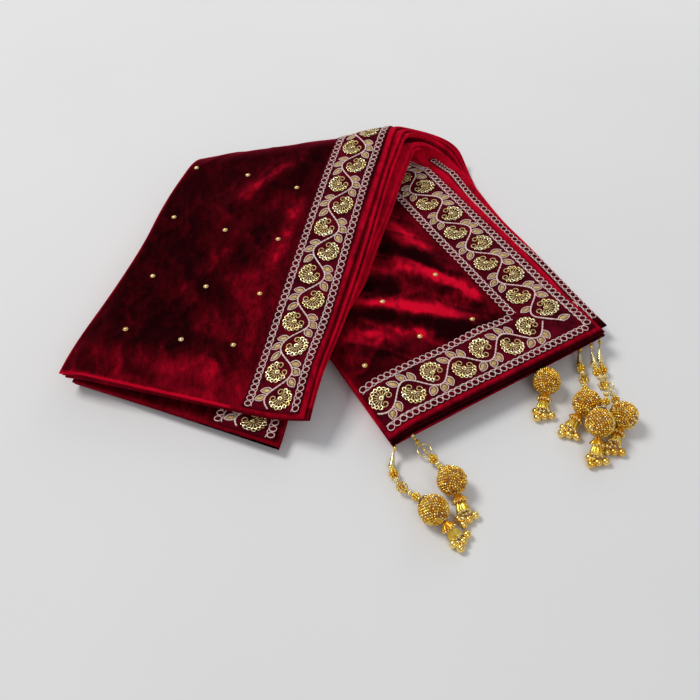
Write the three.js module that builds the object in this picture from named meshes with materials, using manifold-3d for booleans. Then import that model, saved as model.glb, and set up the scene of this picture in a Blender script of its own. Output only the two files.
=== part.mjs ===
// A velvet shawl, folded into a long band and laid down once over itself, so that its two arms spread in a V.
// The lower arm lies flat on the surface, the upper arm comes back over it from a rounded crest.
// Embroidered borders run along its edges, and beaded tassels hang from the corners of the lower arm's end.
//
// Every piece of cloth is first drawn on the flat band, where a runs along the band, b across it and w down
// through the stack, and the same bend then carries all of them into place. Lengths are in millimetres.

import * as THREE from 'three';
import { mergeVertices } from 'three/addons/utils/BufferGeometryUtils.js';
import Module from 'manifold-3d';

const wasm = await Module();
wasm.setup();

// The folded band
const BAND_WIDTH = 235;
const RIGHT_LENGTH = 330;
const LEFT_LENGTH = 410;
const STACK = 24;
const HALF = BAND_WIDTH / 2;

// The bend between the arms: its skew across the band, its turn on the surface and its inner radius
const SKEW = THREE.MathUtils.degToRad(22);
const TURN = THREE.MathUtils.degToRad(6);
const INNER_RADIUS = 8.5;
const GROUP_GAP = 7;
const GROUP_SPLIT = 10;
const BEND_LENGTH = Math.PI * (INNER_RADIUS + STACK + 0.5 * GROUP_GAP);
const BEND_END = BEND_LENGTH / Math.cos(SKEW);

// The outer group of leaves splits off over this depth, and its bend is wider by this share of the gap
const SPLIT = { over: 4, wider: 0.6 };

// Heights across the band: the fold edge on the left is pressed flatter than the rest, and the crest is
// puffed up more and more towards the open edge on the right
const PRESS = { edge: 0.7, over: 30 };
const PUFF = { edge: 0.42, field: 0.36, fieldOver: 170, open: 0.4, openFrom: -40, openOver: 80 };

// The upper arm is carried by the lower one up to this far beyond its edge, and comes down over this length.
// Near the crest it is held up in any case, for longer in the outer leaves, and the crest's own height fades
const CARRIED = { beyond: 76, over: 70, startOver: 60 };
const HELD = { inner: 160, outer: 320, curve: 1.2 };
const FADE = { length: 240, curve: 1.2 };

// The free ends lift a little: the outer group of the upper arm, and the top leaf of the lower arm
const FREE_END = { over: 90, upper: 3, lower: 2.5, lowerFrom: 2, lowerOver: 4 };

// Where the bend's middle lies, measured from the middle of the whole part's box
const CENTRE = { x: -8.7, y: 32.16 };
const BEND = { x: -25.3 - CENTRE.x, y: 225.4 - CENTRE.y };

// Clearances and edges
const SEAM = 0.3;
const UP = new THREE.Vector3(0, 0, 1);
const TRIM = 0.8;
const HEM = 1.1;

// The stations along the band at which the leaf table gives its edges
const STATIONS = [-RIGHT_LENGTH, -170, -30, 55, 130, 240, LEFT_LENGTH];

// One row for each leaf that shows at the edges: its depth in the stack, how far it reaches past the band's
// right edge and stays inside its left edge at each station, and how far past the band's ends it goes,
// at the left edge and at the right edge
const LEAVES = {
  inner: { from: 0, to: 3.2, reach: [0, 0, 0, 12, 12, 6, -22], inset: [6, 8, 6, 24, 30, 24, 10],
    rightEnd: [1, 1], leftEnd: [-8, -8] },
  second: { from: 4, to: 7.2, reach: [2, 8, 10, 22, 18, 14, -19], inset: [7, 9, 8, 24, 30, 24, 10],
    rightEnd: [2, 1], leftEnd: [4, 31] },
  third: { from: 8, to: 11.2, reach: [15, 20, 34, 20, 16, 10, -18], inset: [8, 10, 9, 24, 30, 24, 9],
    rightEnd: [-5, -10], leftEnd: [5, 33] },
  fourth: { from: 12.8, to: 16, reach: [8, 18, 40, 12, 9, 10, 4], inset: [9, 11, 10, 25, 31, 23, 5],
    rightEnd: [-4, -6], leftEnd: [6, 10] },
  fifth: { from: 16.8, to: 20, reach: [5, 14, 45, 8, 5, 6, 3], inset: [10, 12, 10, 25, 31, 22, 4],
    rightEnd: [-3, -6], leftEnd: [7, 11] },
  outer: { from: 20.8, to: 24, reach: [3, 11, 49, 0, 0, 0, 0], inset: [11, 12, 11, 26, 32, 22, 3],
    rightEnd: [-5, -8], leftEnd: [9, 13] },
};

// The filler joins the hidden layers: it stays this far inside the leaves that it joins
const FILLER = { from: 5.6, to: 18.4, inside: 8 };
const FILLED = [LEAVES.second, LEAVES.third, LEAVES.fourth, LEAVES.fifth];

// Soft ridges on the two faces that show, from one point to another, with their height and half width
const RIDGES = {
  inner: [
    { fromA: -112, fromB: -14, toA: -189, toB: -40, height: 5.5, half: 13 },
    { fromA: -161, fromB: -9, toA: -234, toB: -36, height: 5.0, half: 12 },
    { fromA: -183, fromB: 61, toA: -212, toB: 29, height: 4.5, half: 12 },
    { fromA: -212, fromB: 29, toA: -267, toB: -18, height: 5.0, half: 13 },
    { fromA: -130, fromB: 80, toA: -165, toB: 20, height: 3.5, half: 14 },
  ],
  outer: [
    { fromA: 208, fromB: 21, toA: 132, toB: -31, height: 3.5, half: 15 },
    { fromA: 132, fromB: -31, toA: 98, toB: -54, height: 3.0, half: 13 },
    { fromA: 342, fromB: -30, toA: 296, toB: 40, height: 2.2, half: 18 },
    { fromA: 385, fromB: 80, toA: 372, toB: -20, height: 2.5, half: 16 },
  ],
};

// How much lower a ridge is at its ends than in its middle
const RIDGE_TAPER = 0.4;

// The embroidered border: its width, and how far it stays inside the band's edges
const BORDER = { width: 55, margin: 5.5, hem: 0.3 };

const BORDER_OUT = -HALF + BORDER.margin;
const BORDER_IN = BORDER_OUT + BORDER.width;
const BORDER_LINES = [0, 0.33, 0.67, 1].map((share) => mix(BORDER_IN, BORDER_OUT, share));

// Where the strips of border start and stop along the band, and the two strips under the top leaves: on the
// upper arm its sides across the band, on the lower arm how far it stays from the edges of its two leaves
const STRIPS = {
  upperArm: [20, LEFT_LENGTH + 6],
  side: [-RIGHT_LENGTH + BORDER.margin + BORDER.width + SEAM, 96],
  end: [-RIGHT_LENGTH + BORDER.margin, -RIGHT_LENGTH + BORDER.margin + BORDER.width],
  endLeft: HALF - 10,
  underUpper: { along: [LEFT_LENGTH + 0.5, LEFT_LENGTH + 23], end: [LEFT_LENGTH + 2, LEFT_LENGTH + 30],
    across: [-37.5, -56, -74.5, -93] },
  underLower: { along: [-RIGHT_LENGTH + 24, -10], fromSecond: 1.5, fromThird: 2.5 },
};

// The grid that the cloth is drawn on: rows in each stretch of the band, and lines across the plain field,
// the first of them this far inside the left edge
const ROWS = { right: 12, bend: 9, left: 12 };
const FIELD = { left: 12, shares: [0, 0.13, 0.45, 0.75] };
const LINE_GAP = 1.2;

// The rows turn to lie along the bend: how far from the bend they are still wholly turned, and over what
// length they turn back
const ROW_TURN = {
  right: { from: 15, over: RIGHT_LENGTH - 40 },
  left: { from: 10, over: LEFT_LENGTH - BEND_END - 30 },
};
const CROSSING_STEPS = 6;

// A strip of border leaves out the grid's rows that are closer than this to its own ends
const ROW_CLEAR = 2;

// The beaded tassels: the leaf whose free end each hangs from and where across the band, two points that its
// strand passes, its ball's middle, and the end of its bell
const TASSELS = [
  { leaf: 'second', rootB: 107, bends: [[31.5, -131, 6], [35, -150, 6]],
    ball: [61.3, -180.0, 12.8], bell: [75.0, -197.5] },
  { leaf: 'second', rootB: 92, bends: [[55, -114, 8], [66, -128, 6]],
    ball: [78.7, -154.1, 12.8], bell: [87.0, -185.0] },
  { leaf: 'fourth', rootB: -48, bends: [[171, -42, 9], [171.6, -44, 9]],
    ball: [174.2, -56.2, 12.8], bell: [167.5, -80.0] },
  { leaf: 'second', rootB: -92, bends: [[210.5, -26, 8], [210, -48, 6]],
    ball: [204.6, -82.4, 12.8], bell: [189.0, -100.5] },
  { leaf: 'second', rootB: -103, bends: [[219.5, -40, 15], [219, -84, 24]],
    ball: [208.8, -107.6, 19.0], bell: [203.0, -131.0] },
  { leaf: 'second', rootB: -114, bends: [[229, -30, 8], [230.5, -60, 6]],
    ball: [232.8, -97.0, 12.8], bell: [216.0, -129.0] },
];
const BALL_RADIUS = 12.8;
const THREAD_RADIUS = 0.7;
const BELL = { length: 15, neck: 2.4, mouth: 6.4, rim: 0.6, droop: 0.6 };
const PEARL = { radius: 3.6, count: 4, spread: 5.8, stagger: 3.2, fan: 1.2, hangsFrom: 0.7 };

// Beads along a strand: where each sits, as a share of the strand, its radius, and its length
const BEADS = [
  { share: 0.06, radius: 1.7, length: 3.2 },
  { share: 0.22, radius: 3.1, length: 14 },
  { share: 0.41, radius: 3.9, length: 7.4 },
  { share: 0.52, radius: 2.2, length: 3.6 },
  { share: 0.66, radius: 4.6, length: 9 },
  { share: 0.80, radius: 2.3, length: 3.8 },
  { share: 0.90, radius: 3.6, length: 6.2 },
];

// A strand shorter than this has one small bead. The second bead of a long one is a cone
const SHORT_STRAND = 30;
const SHORT_STRAND_BEAD = { share: 0.4, radius: 1.9, length: 2.6 };
const CONE_BEAD = 1;

// The outlines of beads: the shares of their half length and radius at their shoulders
const BEAD_SHOULDER = { height: 0.5, radius: 0.9 };
const CONE = { tip: 0.4, rim: 0.8 };
const BEAD_SIDES = 6;
const BELL_SIDES = 8;
const BALL_FACETS = [10, 7];
const STRAND_STEP = 10;

// The colours of the finishes
const VELVET = new THREE.MeshStandardMaterial({ color: 0x7a0a1e, roughness: 0.85, metalness: 0 });
const VELVET_LIGHT = new THREE.MeshStandardMaterial({ color: 0x9a1028, roughness: 0.85, metalness: 0 });
const EMBROIDERY = new THREE.MeshStandardMaterial({ color: 0xc9a08c, roughness: 0.6, metalness: 0.2 });
const GOLD = new THREE.MeshStandardMaterial({ color: 0xc58a24, roughness: 0.3, metalness: 0.9 });

// A smooth step from 0 to 1
function smooth(x) {
  const t = Math.min(Math.max(x, 0), 1);
  return t * t * (3 - 2 * t);
}

function mix(from, to, share) {
  return from + (to - from) * share;
}

// A value of the leaf table between its stations
function along(values, a) {
  let value = values[0];
  for (let i = 0; i + 1 < STATIONS.length; i += 1) {
    if (a > STATIONS[i]) {
      const share = smooth((a - STATIONS[i]) / (STATIONS[i + 1] - STATIONS[i]));
      value = mix(values[i], values[i + 1], share);
    }
  }
  return value;
}

// Heights at b: how flat the stack is pressed, and how much the crest is puffed up
function heightsAt(b) {
  const press = PRESS.edge + (1 - PRESS.edge) * smooth((HALF - b) / PRESS.over);
  const puff = PUFF.edge + PUFF.field * smooth((HALF - b) / PUFF.fieldOver)
    + PUFF.open * smooth((PUFF.openFrom - b) / PUFF.openOver);
  return { press, puff };
}

// The upper arm's height: it lies on the lower arm near the crest and comes down beyond the lower arm's edge
function upperArmHeight(a, b, w, past, side, outside, gap) {
  const { press, puff } = heightsAt(b);
  const carried = smooth((HALF + CARRIED.beyond - side) / CARRIED.over);
  const near = Math.max(1 - past / mix(HELD.inner, HELD.outer, w / STACK), 0) ** HELD.curve;
  const lift = carried + near - carried * near;
  const fade = Math.max(1 - past / FADE.length, 0) ** FADE.curve;
  return press * w + STACK * lift * mix(press, 1, smooth(past / CARRIED.startOver))
    + (2 * INNER_RADIUS + gap) * puff * fade
    + FREE_END.upper * outside * smooth((a - (LEFT_LENGTH - FREE_END.over)) / FREE_END.over);
}

// The height through the bend and along the lower arm
function lowerArmHeight(a, b, w, run, angle, gap) {
  const { press, puff } = heightsAt(b);
  const low = press * (STACK - w);
  const high = press * (STACK + w) + (2 * INNER_RADIUS + gap) * puff;
  const height = (low + high) / 2 - (high - low) / 2 * Math.cos(angle);
  if (run >= 0) return height;
  const top = 1 - smooth((w - FREE_END.lowerFrom) / FREE_END.lowerOver);
  return height + FREE_END.lower * top * smooth((-a - (RIGHT_LENGTH - FREE_END.over)) / FREE_END.over);
}

// The bend: a point (a, b, w) of the flat band is carried to its place in the folded shawl
function place(a, b, w) {
  const across = a * Math.sin(SKEW) + b * Math.cos(SKEW);
  const run = a * Math.cos(SKEW) - b * Math.sin(SKEW);
  const outside = smooth((w - GROUP_SPLIT) / SPLIT.over);
  const gap = GROUP_GAP * outside;
  const radius = INNER_RADIUS + w + SPLIT.wider * gap;
  const angle = Math.min(Math.max(run / BEND_LENGTH, 0), 1) * Math.PI;
  const past = Math.max(run - BEND_LENGTH, 0);
  const before = Math.max(-run, 0);
  const reach = past + before - radius * Math.sin(angle);
  const side = across * Math.cos(SKEW) + reach * Math.sin(SKEW);
  const z = past > 0 ? upperArmHeight(a, b, w, past, side, outside, gap)
    : lowerArmHeight(a, b, w, run, angle, gap);
  const x = BEND.x - across * Math.cos(TURN) + reach * Math.sin(TURN);
  const y = BEND.y - across * Math.sin(TURN) - reach * Math.cos(TURN);
  return [x, y, z];
}

// The height of the ridges at a point of a face
function relief(ridges, a, b) {
  let height = 0;
  for (const ridge of ridges) {
    const lengthA = ridge.toA - ridge.fromA;
    const lengthB = ridge.toB - ridge.fromB;
    const share = ((a - ridge.fromA) * lengthA + (b - ridge.fromB) * lengthB) / (lengthA ** 2 + lengthB ** 2);
    const t = Math.min(Math.max(share, 0), 1);
    const distance = Math.hypot(a - ridge.fromA - t * lengthA, b - ridge.fromB - t * lengthB);
    const tapered = ridge.height * (1 - RIDGE_TAPER + RIDGE_TAPER * Math.sin(Math.PI * t));
    height = Math.max(height, tapered * Math.exp(-((distance / ridge.half) ** 2)));
  }
  return height;
}

// The rows of the grid along the band, closest at the bend
function bandRows() {
  const ends = [-RIGHT_LENGTH, 0, BEND_END, LEFT_LENGTH];
  const counts = [ROWS.right, ROWS.bend, ROWS.left];
  const rows = counts.flatMap((count, i) =>
    Array.from({ length: count }, (_, k) => mix(ends[i], ends[i + 1], k / count)));
  return [...rows, LEFT_LENGTH];
}

// How far a row is turned to lie along the bend: wholly at the bend, not at all at the band's ends
function rowTurn(s) {
  const { right, left } = ROW_TURN;
  if (s < 0) return smooth(1 + (s + right.from) / right.over);
  return smooth(1 - (s - BEND_END - left.from) / left.over);
}

// Where a row meets a line that runs along the band: its a and b
function crossing(s, line) {
  let a = s;
  for (let k = 0; k < CROSSING_STEPS; k += 1) a = s + line(a) * Math.tan(SKEW) * rowTurn(s);
  return [a, line(a)];
}

// The grid's own lines along the band. Every leaf and border shares them, so that their facets stay parallel
function gridLines() {
  const fieldLeft = (a) => HALF - along(LEAVES.inner.inset, a) - FIELD.left;
  const field = FIELD.shares.map((share) => (a) => mix(fieldLeft(a), BORDER_LINES[0], share));
  return [...field, ...BORDER_LINES.map((line) => () => line)];
}

// A closed slab from two faces of matching points and the ring of points around their rim
function slab(columns, rows, pointAt) {
  const positions = [];
  const index = [];
  const lowAt = (i, j) => i * columns + j;
  const highAt = (i, j) => rows * columns + i * columns + j;
  for (const face of [0, 1]) {
    for (let i = 0; i < rows; i += 1) {
      for (let j = 0; j < columns; j += 1) positions.push(...pointAt(i, j, face));
    }
  }
  const loop = [];
  for (let j = 0; j < columns - 1; j += 1) loop.push([0, j]);
  for (let i = 0; i < rows - 1; i += 1) loop.push([i, columns - 1]);
  for (let j = columns - 1; j > 0; j -= 1) loop.push([rows - 1, j]);
  for (let i = rows - 1; i > 0; i -= 1) loop.push([i, 0]);
  const ringStart = 2 * rows * columns;
  for (const [i, j] of loop) positions.push(...pointAt(i, j, 0.5));

  for (let i = 0; i < rows - 1; i += 1) {
    for (let j = 0; j < columns - 1; j += 1) {
      index.push(lowAt(i, j), lowAt(i + 1, j), lowAt(i + 1, j + 1));
      index.push(lowAt(i, j), lowAt(i + 1, j + 1), lowAt(i, j + 1));
      index.push(highAt(i, j), highAt(i + 1, j + 1), highAt(i + 1, j));
      index.push(highAt(i, j), highAt(i, j + 1), highAt(i + 1, j + 1));
    }
  }
  for (let k = 0; k < loop.length; k += 1) {
    const next = (k + 1) % loop.length;
    const [low0, low1] = [lowAt(...loop[k]), lowAt(...loop[next])];
    const [high0, high1] = [highAt(...loop[k]), highAt(...loop[next])];
    const [ring0, ring1] = [ringStart + k, ringStart + next];
    index.push(low0, low1, ring1, low0, ring1, ring0);
    index.push(ring0, ring1, high1, ring0, high1, high0);
  }
  const geometry = new THREE.BufferGeometry();
  geometry.setAttribute('position', new THREE.Float32BufferAttribute(positions, 3));
  geometry.setIndex(index);
  return facingOut(geometry);
}

// Turns a closed geometry's faces outwards
function facingOut(geometry) {
  const p = geometry.attributes.position;
  const index = geometry.index.array;
  const [u, v, w] = [new THREE.Vector3(), new THREE.Vector3(), new THREE.Vector3()];
  let volume = 0;
  for (let i = 0; i < index.length; i += 3) {
    u.fromBufferAttribute(p, index[i]);
    v.fromBufferAttribute(p, index[i + 1]);
    w.fromBufferAttribute(p, index[i + 2]);
    volume += u.dot(v.cross(w));
  }
  if (volume < 0) {
    for (let i = 0; i < index.length; i += 3) [index[i + 1], index[i + 2]] = [index[i + 2], index[i + 1]];
  }
  return geometry;
}

// A slab between two depths, within the lines left and right, from row to row of the grid.
// Its own ends, where given, take the place of its first and last row. deeper changes the depth of a point
function bandSlab({ from, to, left, right, rows, startA, endA, hem, lines, deeper = () => 0 }) {
  const inner = lines ?? gridLines();
  const count = inner.length + 2;
  const pointAt = (i, j, face) => {
    const tuck = face === 0.5 ? 0 : hem;
    const line = (a) => {
      const [most, least] = [left(a) - tuck, right(a) + tuck];
      if (j === 0) return most;
      if (j === count - 1) return least;
      return Math.max(Math.min(inner[j - 1](a), most - LINE_GAP * j), least + LINE_GAP * (count - 1 - j));
    };
    let [a, b] = crossing(rows[i], line);
    const share = (HALF - b) / BAND_WIDTH;
    if (i === 0 && startA) a = mix(startA[0], startA[1], share) + tuck;
    if (i === rows.length - 1 && endA) a = mix(endA[0], endA[1], share) - tuck;
    return place(a, b, mix(from, to, face) + deeper(a, b, face));
  };
  return slab(count, rows.length, pointAt);
}

// One leaf of the folded stack
function leafSlab(leaf, deeper) {
  const ownRow = leaf.leftEnd[0] > 0 ? [LEFT_LENGTH + leaf.leftEnd[0]] : [];
  return bandSlab({
    from: leaf.from, to: leaf.to, rows: [...bandRows(), ...ownRow], hem: HEM, deeper,
    startA: leaf.rightEnd.map((extra) => -RIGHT_LENGTH - extra),
    endA: leaf.leftEnd.map((extra) => LEFT_LENGTH + extra),
    left: (a) => HALF - along(leaf.inset, a),
    right: (a) => -HALF - along(leaf.reach, a),
  });
}

// The filler that joins the hidden layers behind their layered edges
function fillerSlab() {
  const least = (key) => Math.min(...FILLED.flatMap((leaf) => leaf[key])) - FILLER.inside;
  return bandSlab({
    from: FILLER.from, to: FILLER.to, rows: bandRows(), hem: HEM,
    startA: [-RIGHT_LENGTH - least('rightEnd'), -RIGHT_LENGTH - least('rightEnd')],
    endA: [LEFT_LENGTH + least('leftEnd'), LEFT_LENGTH + least('leftEnd')],
    left: (a) => HALF - Math.max(...FILLED.map((leaf) => along(leaf.inset, a))) - FILLER.inside,
    right: (a) => -HALF - Math.min(...FILLED.map((leaf) => along(leaf.reach, a))) + FILLER.inside,
  });
}

// A strip of border on one face of a leaf: outward is 1 where w grows away from the face, else -1
function borderSlab({ face, outward, span: [start, stop], endA, left, right, lines, ridges = [] }) {
  const near = face + outward * SEAM;
  const far = face + outward * (SEAM + TRIM);
  const between = bandRows().filter((s) => s > start + ROW_CLEAR && s < stop - ROW_CLEAR);
  return bandSlab({
    from: Math.min(near, far), to: Math.max(near, far), rows: [start, ...between, stop], hem: BORDER.hem,
    endA, left, right, lines, deeper: (a, b) => outward * relief(ridges, a, b),
  });
}

function toSolid(geometry) {
  const bare = geometry.clone();
  bare.deleteAttribute('normal');
  bare.deleteAttribute('uv');
  const merged = mergeVertices(bare, 1e-4);
  return new wasm.Manifold(new wasm.Mesh({
    numProp: 3,
    vertProperties: new Float32Array(merged.attributes.position.array),
    triVerts: new Uint32Array(merged.index.array),
  }));
}

function toGeometry(solid) {
  const mesh = solid.getMesh();
  const geometry = new THREE.BufferGeometry();
  geometry.setAttribute('position', new THREE.BufferAttribute(new Float32Array(mesh.vertProperties), 3));
  geometry.setIndex(new THREE.BufferAttribute(new Uint32Array(mesh.triVerts), 1));
  return geometry;
}

// Joins closed forms into one body. Small pockets that layers close off between them are filled
function join(geometries) {
  const whole = geometries.map(toSolid).reduce((sum, solid) => sum.add(solid));
  const shells = whole.decompose().sort((one, other) => other.volume() - one.volume());
  return toGeometry(shells[0]);
}

const shawl = new THREE.Group();

function addMesh(name, geometry, material) {
  const mesh = new THREE.Mesh(geometry, material);
  mesh.name = name;
  shawl.add(mesh);
}

// The cloth: the inner leaf has ridges on its near face, the outer leaf on its far one
const nearRidges = (a, b, face) => (face === 0 ? -relief(RIDGES.inner, a, b) : 0);
const farRidges = (a, b, face) => (face === 1 ? relief(RIDGES.outer, a, b) : 0);
addMesh('velvet_inner_leaf', leafSlab(LEAVES.inner, nearRidges), VELVET);
addMesh('velvet_core', join([...FILLED.map((leaf) => leafSlab(leaf)), fillerSlab()]), VELVET_LIGHT);
addMesh('velvet_outer_leaf', leafSlab(LEAVES.outer, farRidges), VELVET);

// The borders
const alongEdge = {
  left: () => BORDER_IN,
  right: () => BORDER_OUT,
  lines: BORDER_LINES.slice(1, -1).map((b) => () => b),
};

addMesh('border_left_arm', borderSlab({
  face: STACK, outward: 1, span: STRIPS.upperArm, ridges: RIDGES.outer, ...alongEdge,
}), EMBROIDERY);

const [underLeft, ...underLines] = STRIPS.underUpper.across.map((b) => () => b);
addMesh('border_left_under', borderSlab({
  face: LEAVES.third.to, outward: 1, span: STRIPS.underUpper.along, endA: STRIPS.underUpper.end,
  left: underLeft, right: underLines.at(-1), lines: underLines.slice(0, -1),
}), EMBROIDERY);

addMesh('border_right_side', borderSlab({
  face: 0, outward: -1, span: STRIPS.side, ridges: RIDGES.inner, ...alongEdge,
}), EMBROIDERY);

addMesh('border_right_end', borderSlab({
  face: 0, outward: -1, span: STRIPS.end, ridges: RIDGES.inner,
  left: () => STRIPS.endLeft, right: () => BORDER_OUT, lines: gridLines().slice(0, -1),
}), EMBROIDERY);

addMesh('border_right_under', borderSlab({
  face: LEAVES.third.from, outward: -1, span: STRIPS.underLower.along,
  left: (a) => -HALF - along(LEAVES.second.reach, a) - STRIPS.underLower.fromSecond,
  right: (a) => -HALF - along(LEAVES.third.reach, a) + STRIPS.underLower.fromThird,
  lines: [],
}), EMBROIDERY);

// A round form along a direction, from a profile of [height, radius] pairs that starts and ends on the axis
function turned(profile, sides, base, direction) {
  const points = profile.map(([height, radius]) => new THREE.Vector2(radius, height));
  const geometry = new THREE.LatheGeometry(points, sides);
  const up = new THREE.Vector3(0, 1, 0);
  geometry.applyQuaternion(new THREE.Quaternion().setFromUnitVectors(up, direction.clone().normalize()));
  geometry.translate(base.x, base.y, base.z);
  return geometry;
}

function beadProfile(length, radius) {
  const half = length / 2;
  const [shoulder, wide] = [half * BEAD_SHOULDER.height, radius * BEAD_SHOULDER.radius];
  return [[-half, 0], [-shoulder, wide], [shoulder, wide], [half, 0]];
}

function coneProfile(length, radius) {
  const half = length / 2;
  return [[-half, 0], [-half, radius * CONE.tip], [half * CONE.rim, radius], [half, 0]];
}

function threadAlong(curve, sides, steps) {
  const corners = Array.from({ length: sides }, (_, k) => 2 * Math.PI * k / sides);
  const section = new THREE.Shape(corners.map((angle) =>
    new THREE.Vector2(THREAD_RADIUS * Math.cos(angle), THREAD_RADIUS * Math.sin(angle))));
  return new THREE.ExtrudeGeometry(section, { steps, extrudePath: curve, bevelEnabled: false });
}

// The strand of a tassel: a thread with its beads, from the cloth to the ball's cap
function strandGeometry(root, bend, capEnd) {
  const curve = new THREE.CatmullRomCurve3([root, bend[0], bend[1], capEnd], false, 'centripetal');
  const steps = Math.max(Math.round(curve.getLength() / STRAND_STEP), 2);
  const thread = threadAlong(curve, 4, steps);
  const pieces = [thread];
  const long = curve.getLength() > SHORT_STRAND;
  const beads = long ? BEADS : [SHORT_STRAND_BEAD];
  for (const [k, bead] of beads.entries()) {
    const outline = long && k === CONE_BEAD ? coneProfile : beadProfile;
    const [spot, direction] = [curve.getPointAt(bead.share), curve.getTangentAt(bead.share)];
    pieces.push(turned(outline(bead.length, bead.radius), BEAD_SIDES, spot, direction));
  }
  return join(pieces);
}

// The bell under a ball, with the pearls that fan out from its mouth on the surface
function bellGeometry(ball, bellEnd) {
  const flat = new THREE.Vector3(bellEnd.x - ball.x, bellEnd.y - ball.y, 0);
  const slope = (bellEnd.z - ball.z) / flat.length();
  flat.normalize();
  const way = new THREE.Vector3(flat.x, flat.y, BELL.droop * slope).normalize();
  const start = ball.clone().addScaledVector(way, BALL_RADIUS + SEAM);
  const direction = bellEnd.clone().sub(start).normalize();
  const mouth = start.clone().addScaledVector(direction, BELL.length);
  const inside = start.clone().addScaledVector(direction, BELL.length * PEARL.hangsFrom);
  const profile = [[0, 0], [0, BELL.neck], [BELL.length * BELL.rim, BELL.mouth], [BELL.length, 0]];
  const pieces = [turned(profile, BELL_SIDES, start, direction)];
  for (let k = 0; k < PEARL.count; k += 1) {
    const turn = mix(-PEARL.fan, PEARL.fan, k / (PEARL.count - 1));
    const far = PEARL.spread + (k % 2) * PEARL.stagger;
    const spot = new THREE.Vector3(flat.x, flat.y, 0).applyAxisAngle(UP, turn)
      .multiplyScalar(far).add(mouth);
    spot.z = PEARL.radius + SEAM;
    pieces.push(threadAlong(new THREE.LineCurve3(inside, spot), 3, 1));
    pieces.push(turned(beadProfile(2 * PEARL.radius, PEARL.radius), BEAD_SIDES, spot, UP));
  }
  return join(pieces);
}

// Where a strand leaves the free end of a leaf on the lower arm
function rootPlace(leaf, b) {
  const end = RIGHT_LENGTH + mix(leaf.rightEnd[0], leaf.rightEnd[1], (HALF - b) / BAND_WIDTH);
  return place(-end - THREAD_RADIUS - SEAM, b, (leaf.from + leaf.to) / 2);
}

TASSELS.forEach((tassel, number) => {
  const at = ([x, y, z]) => new THREE.Vector3(x - CENTRE.x, y - CENTRE.y, z);
  const ball = at(tassel.ball);
  const root = new THREE.Vector3(...rootPlace(LEAVES[tassel.leaf], tassel.rootB));
  const bend = tassel.bends.map(at);
  const inward = bend[1].clone().sub(ball).normalize();
  const capEnd = ball.clone().addScaledVector(inward, BALL_RADIUS + SEAM);
  const bellEnd = at([...tassel.bell, BELL.mouth + SEAM]);
  const label = `latkan_${number + 1}`;
  addMesh(`${label}_strand`, strandGeometry(root, bend, capEnd), GOLD);
  const sphere = new THREE.SphereGeometry(BALL_RADIUS, ...BALL_FACETS);
  sphere.rotateX(Math.PI / 2);
  addMesh(`${label}_ball`, toGeometry(toSolid(sphere.translate(ball.x, ball.y, ball.z))), GOLD);
  addMesh(`${label}_bell`, bellGeometry(ball, bellEnd), GOLD);
});

export default shawl;
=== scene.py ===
# A velvet shawl, folded into a band and laid once over itself in a V, with embroidered borders and tassels.
# Every piece of cloth is drawn on the flat band in millimetres (a along it, b across it, w down through the
# stack) and carried into place by one bend, the same as the frame's. Blender's own lengths are metres.
import math

import bmesh
import bpy
import numpy as np
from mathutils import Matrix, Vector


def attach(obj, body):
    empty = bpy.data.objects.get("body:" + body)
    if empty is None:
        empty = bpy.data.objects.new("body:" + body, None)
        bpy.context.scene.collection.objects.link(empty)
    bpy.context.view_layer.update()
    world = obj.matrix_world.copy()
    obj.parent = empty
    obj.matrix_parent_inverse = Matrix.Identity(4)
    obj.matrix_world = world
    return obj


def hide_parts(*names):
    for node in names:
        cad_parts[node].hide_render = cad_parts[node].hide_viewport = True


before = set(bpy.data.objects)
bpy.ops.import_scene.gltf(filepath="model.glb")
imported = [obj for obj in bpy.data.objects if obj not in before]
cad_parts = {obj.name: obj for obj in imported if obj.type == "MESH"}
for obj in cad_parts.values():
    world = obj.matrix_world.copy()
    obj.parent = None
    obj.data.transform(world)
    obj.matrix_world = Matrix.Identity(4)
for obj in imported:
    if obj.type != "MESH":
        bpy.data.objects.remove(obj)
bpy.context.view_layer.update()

MM = 0.001

# The folded band and the bend between its arms, as in the frame
BAND_WIDTH, RIGHT_LENGTH, LEFT_LENGTH, STACK = 235.0, 330.0, 410.0, 24.0
HALF, BAND_LENGTH = BAND_WIDTH / 2, RIGHT_LENGTH + LEFT_LENGTH
SKEW, TURN = math.radians(22), math.radians(6)
INNER_RADIUS, GROUP_GAP, GROUP_SPLIT = 8.5, 7.0, 10.0
BEND_LENGTH = math.pi * (INNER_RADIUS + STACK + 0.5 * GROUP_GAP)
CENTRE = (-8.7, 32.16)
BEND_X, BEND_Y = -25.3 - CENTRE[0], 225.4 - CENTRE[1]
STATIONS = [-RIGHT_LENGTH, -170, -30, 55, 130, 240, LEFT_LENGTH]

# Heights: how flat the left edge is pressed, how the crest is puffed up towards the open edge, how the upper
# arm is carried by the lower one and held up near the crest, and the lift of the free ends
PRESS_EDGE, PRESS_OVER = 0.7, 30
PUFF_EDGE, PUFF_FIELD, PUFF_FIELD_OVER = 0.42, 0.36, 170
PUFF_OPEN, PUFF_OPEN_FROM, PUFF_OPEN_OVER = 0.4, -40, 80
CARRIED_BEYOND, CARRIED_OVER, START_OVER = 76, 70, 60
HELD_INNER, HELD_OUTER, CREST_CURVE, FADE_LENGTH = 160, 320, 1.2, 240
END_OVER, UPPER_END_LIFT, LOWER_END_LIFT = 90, 3.0, 2.5

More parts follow.
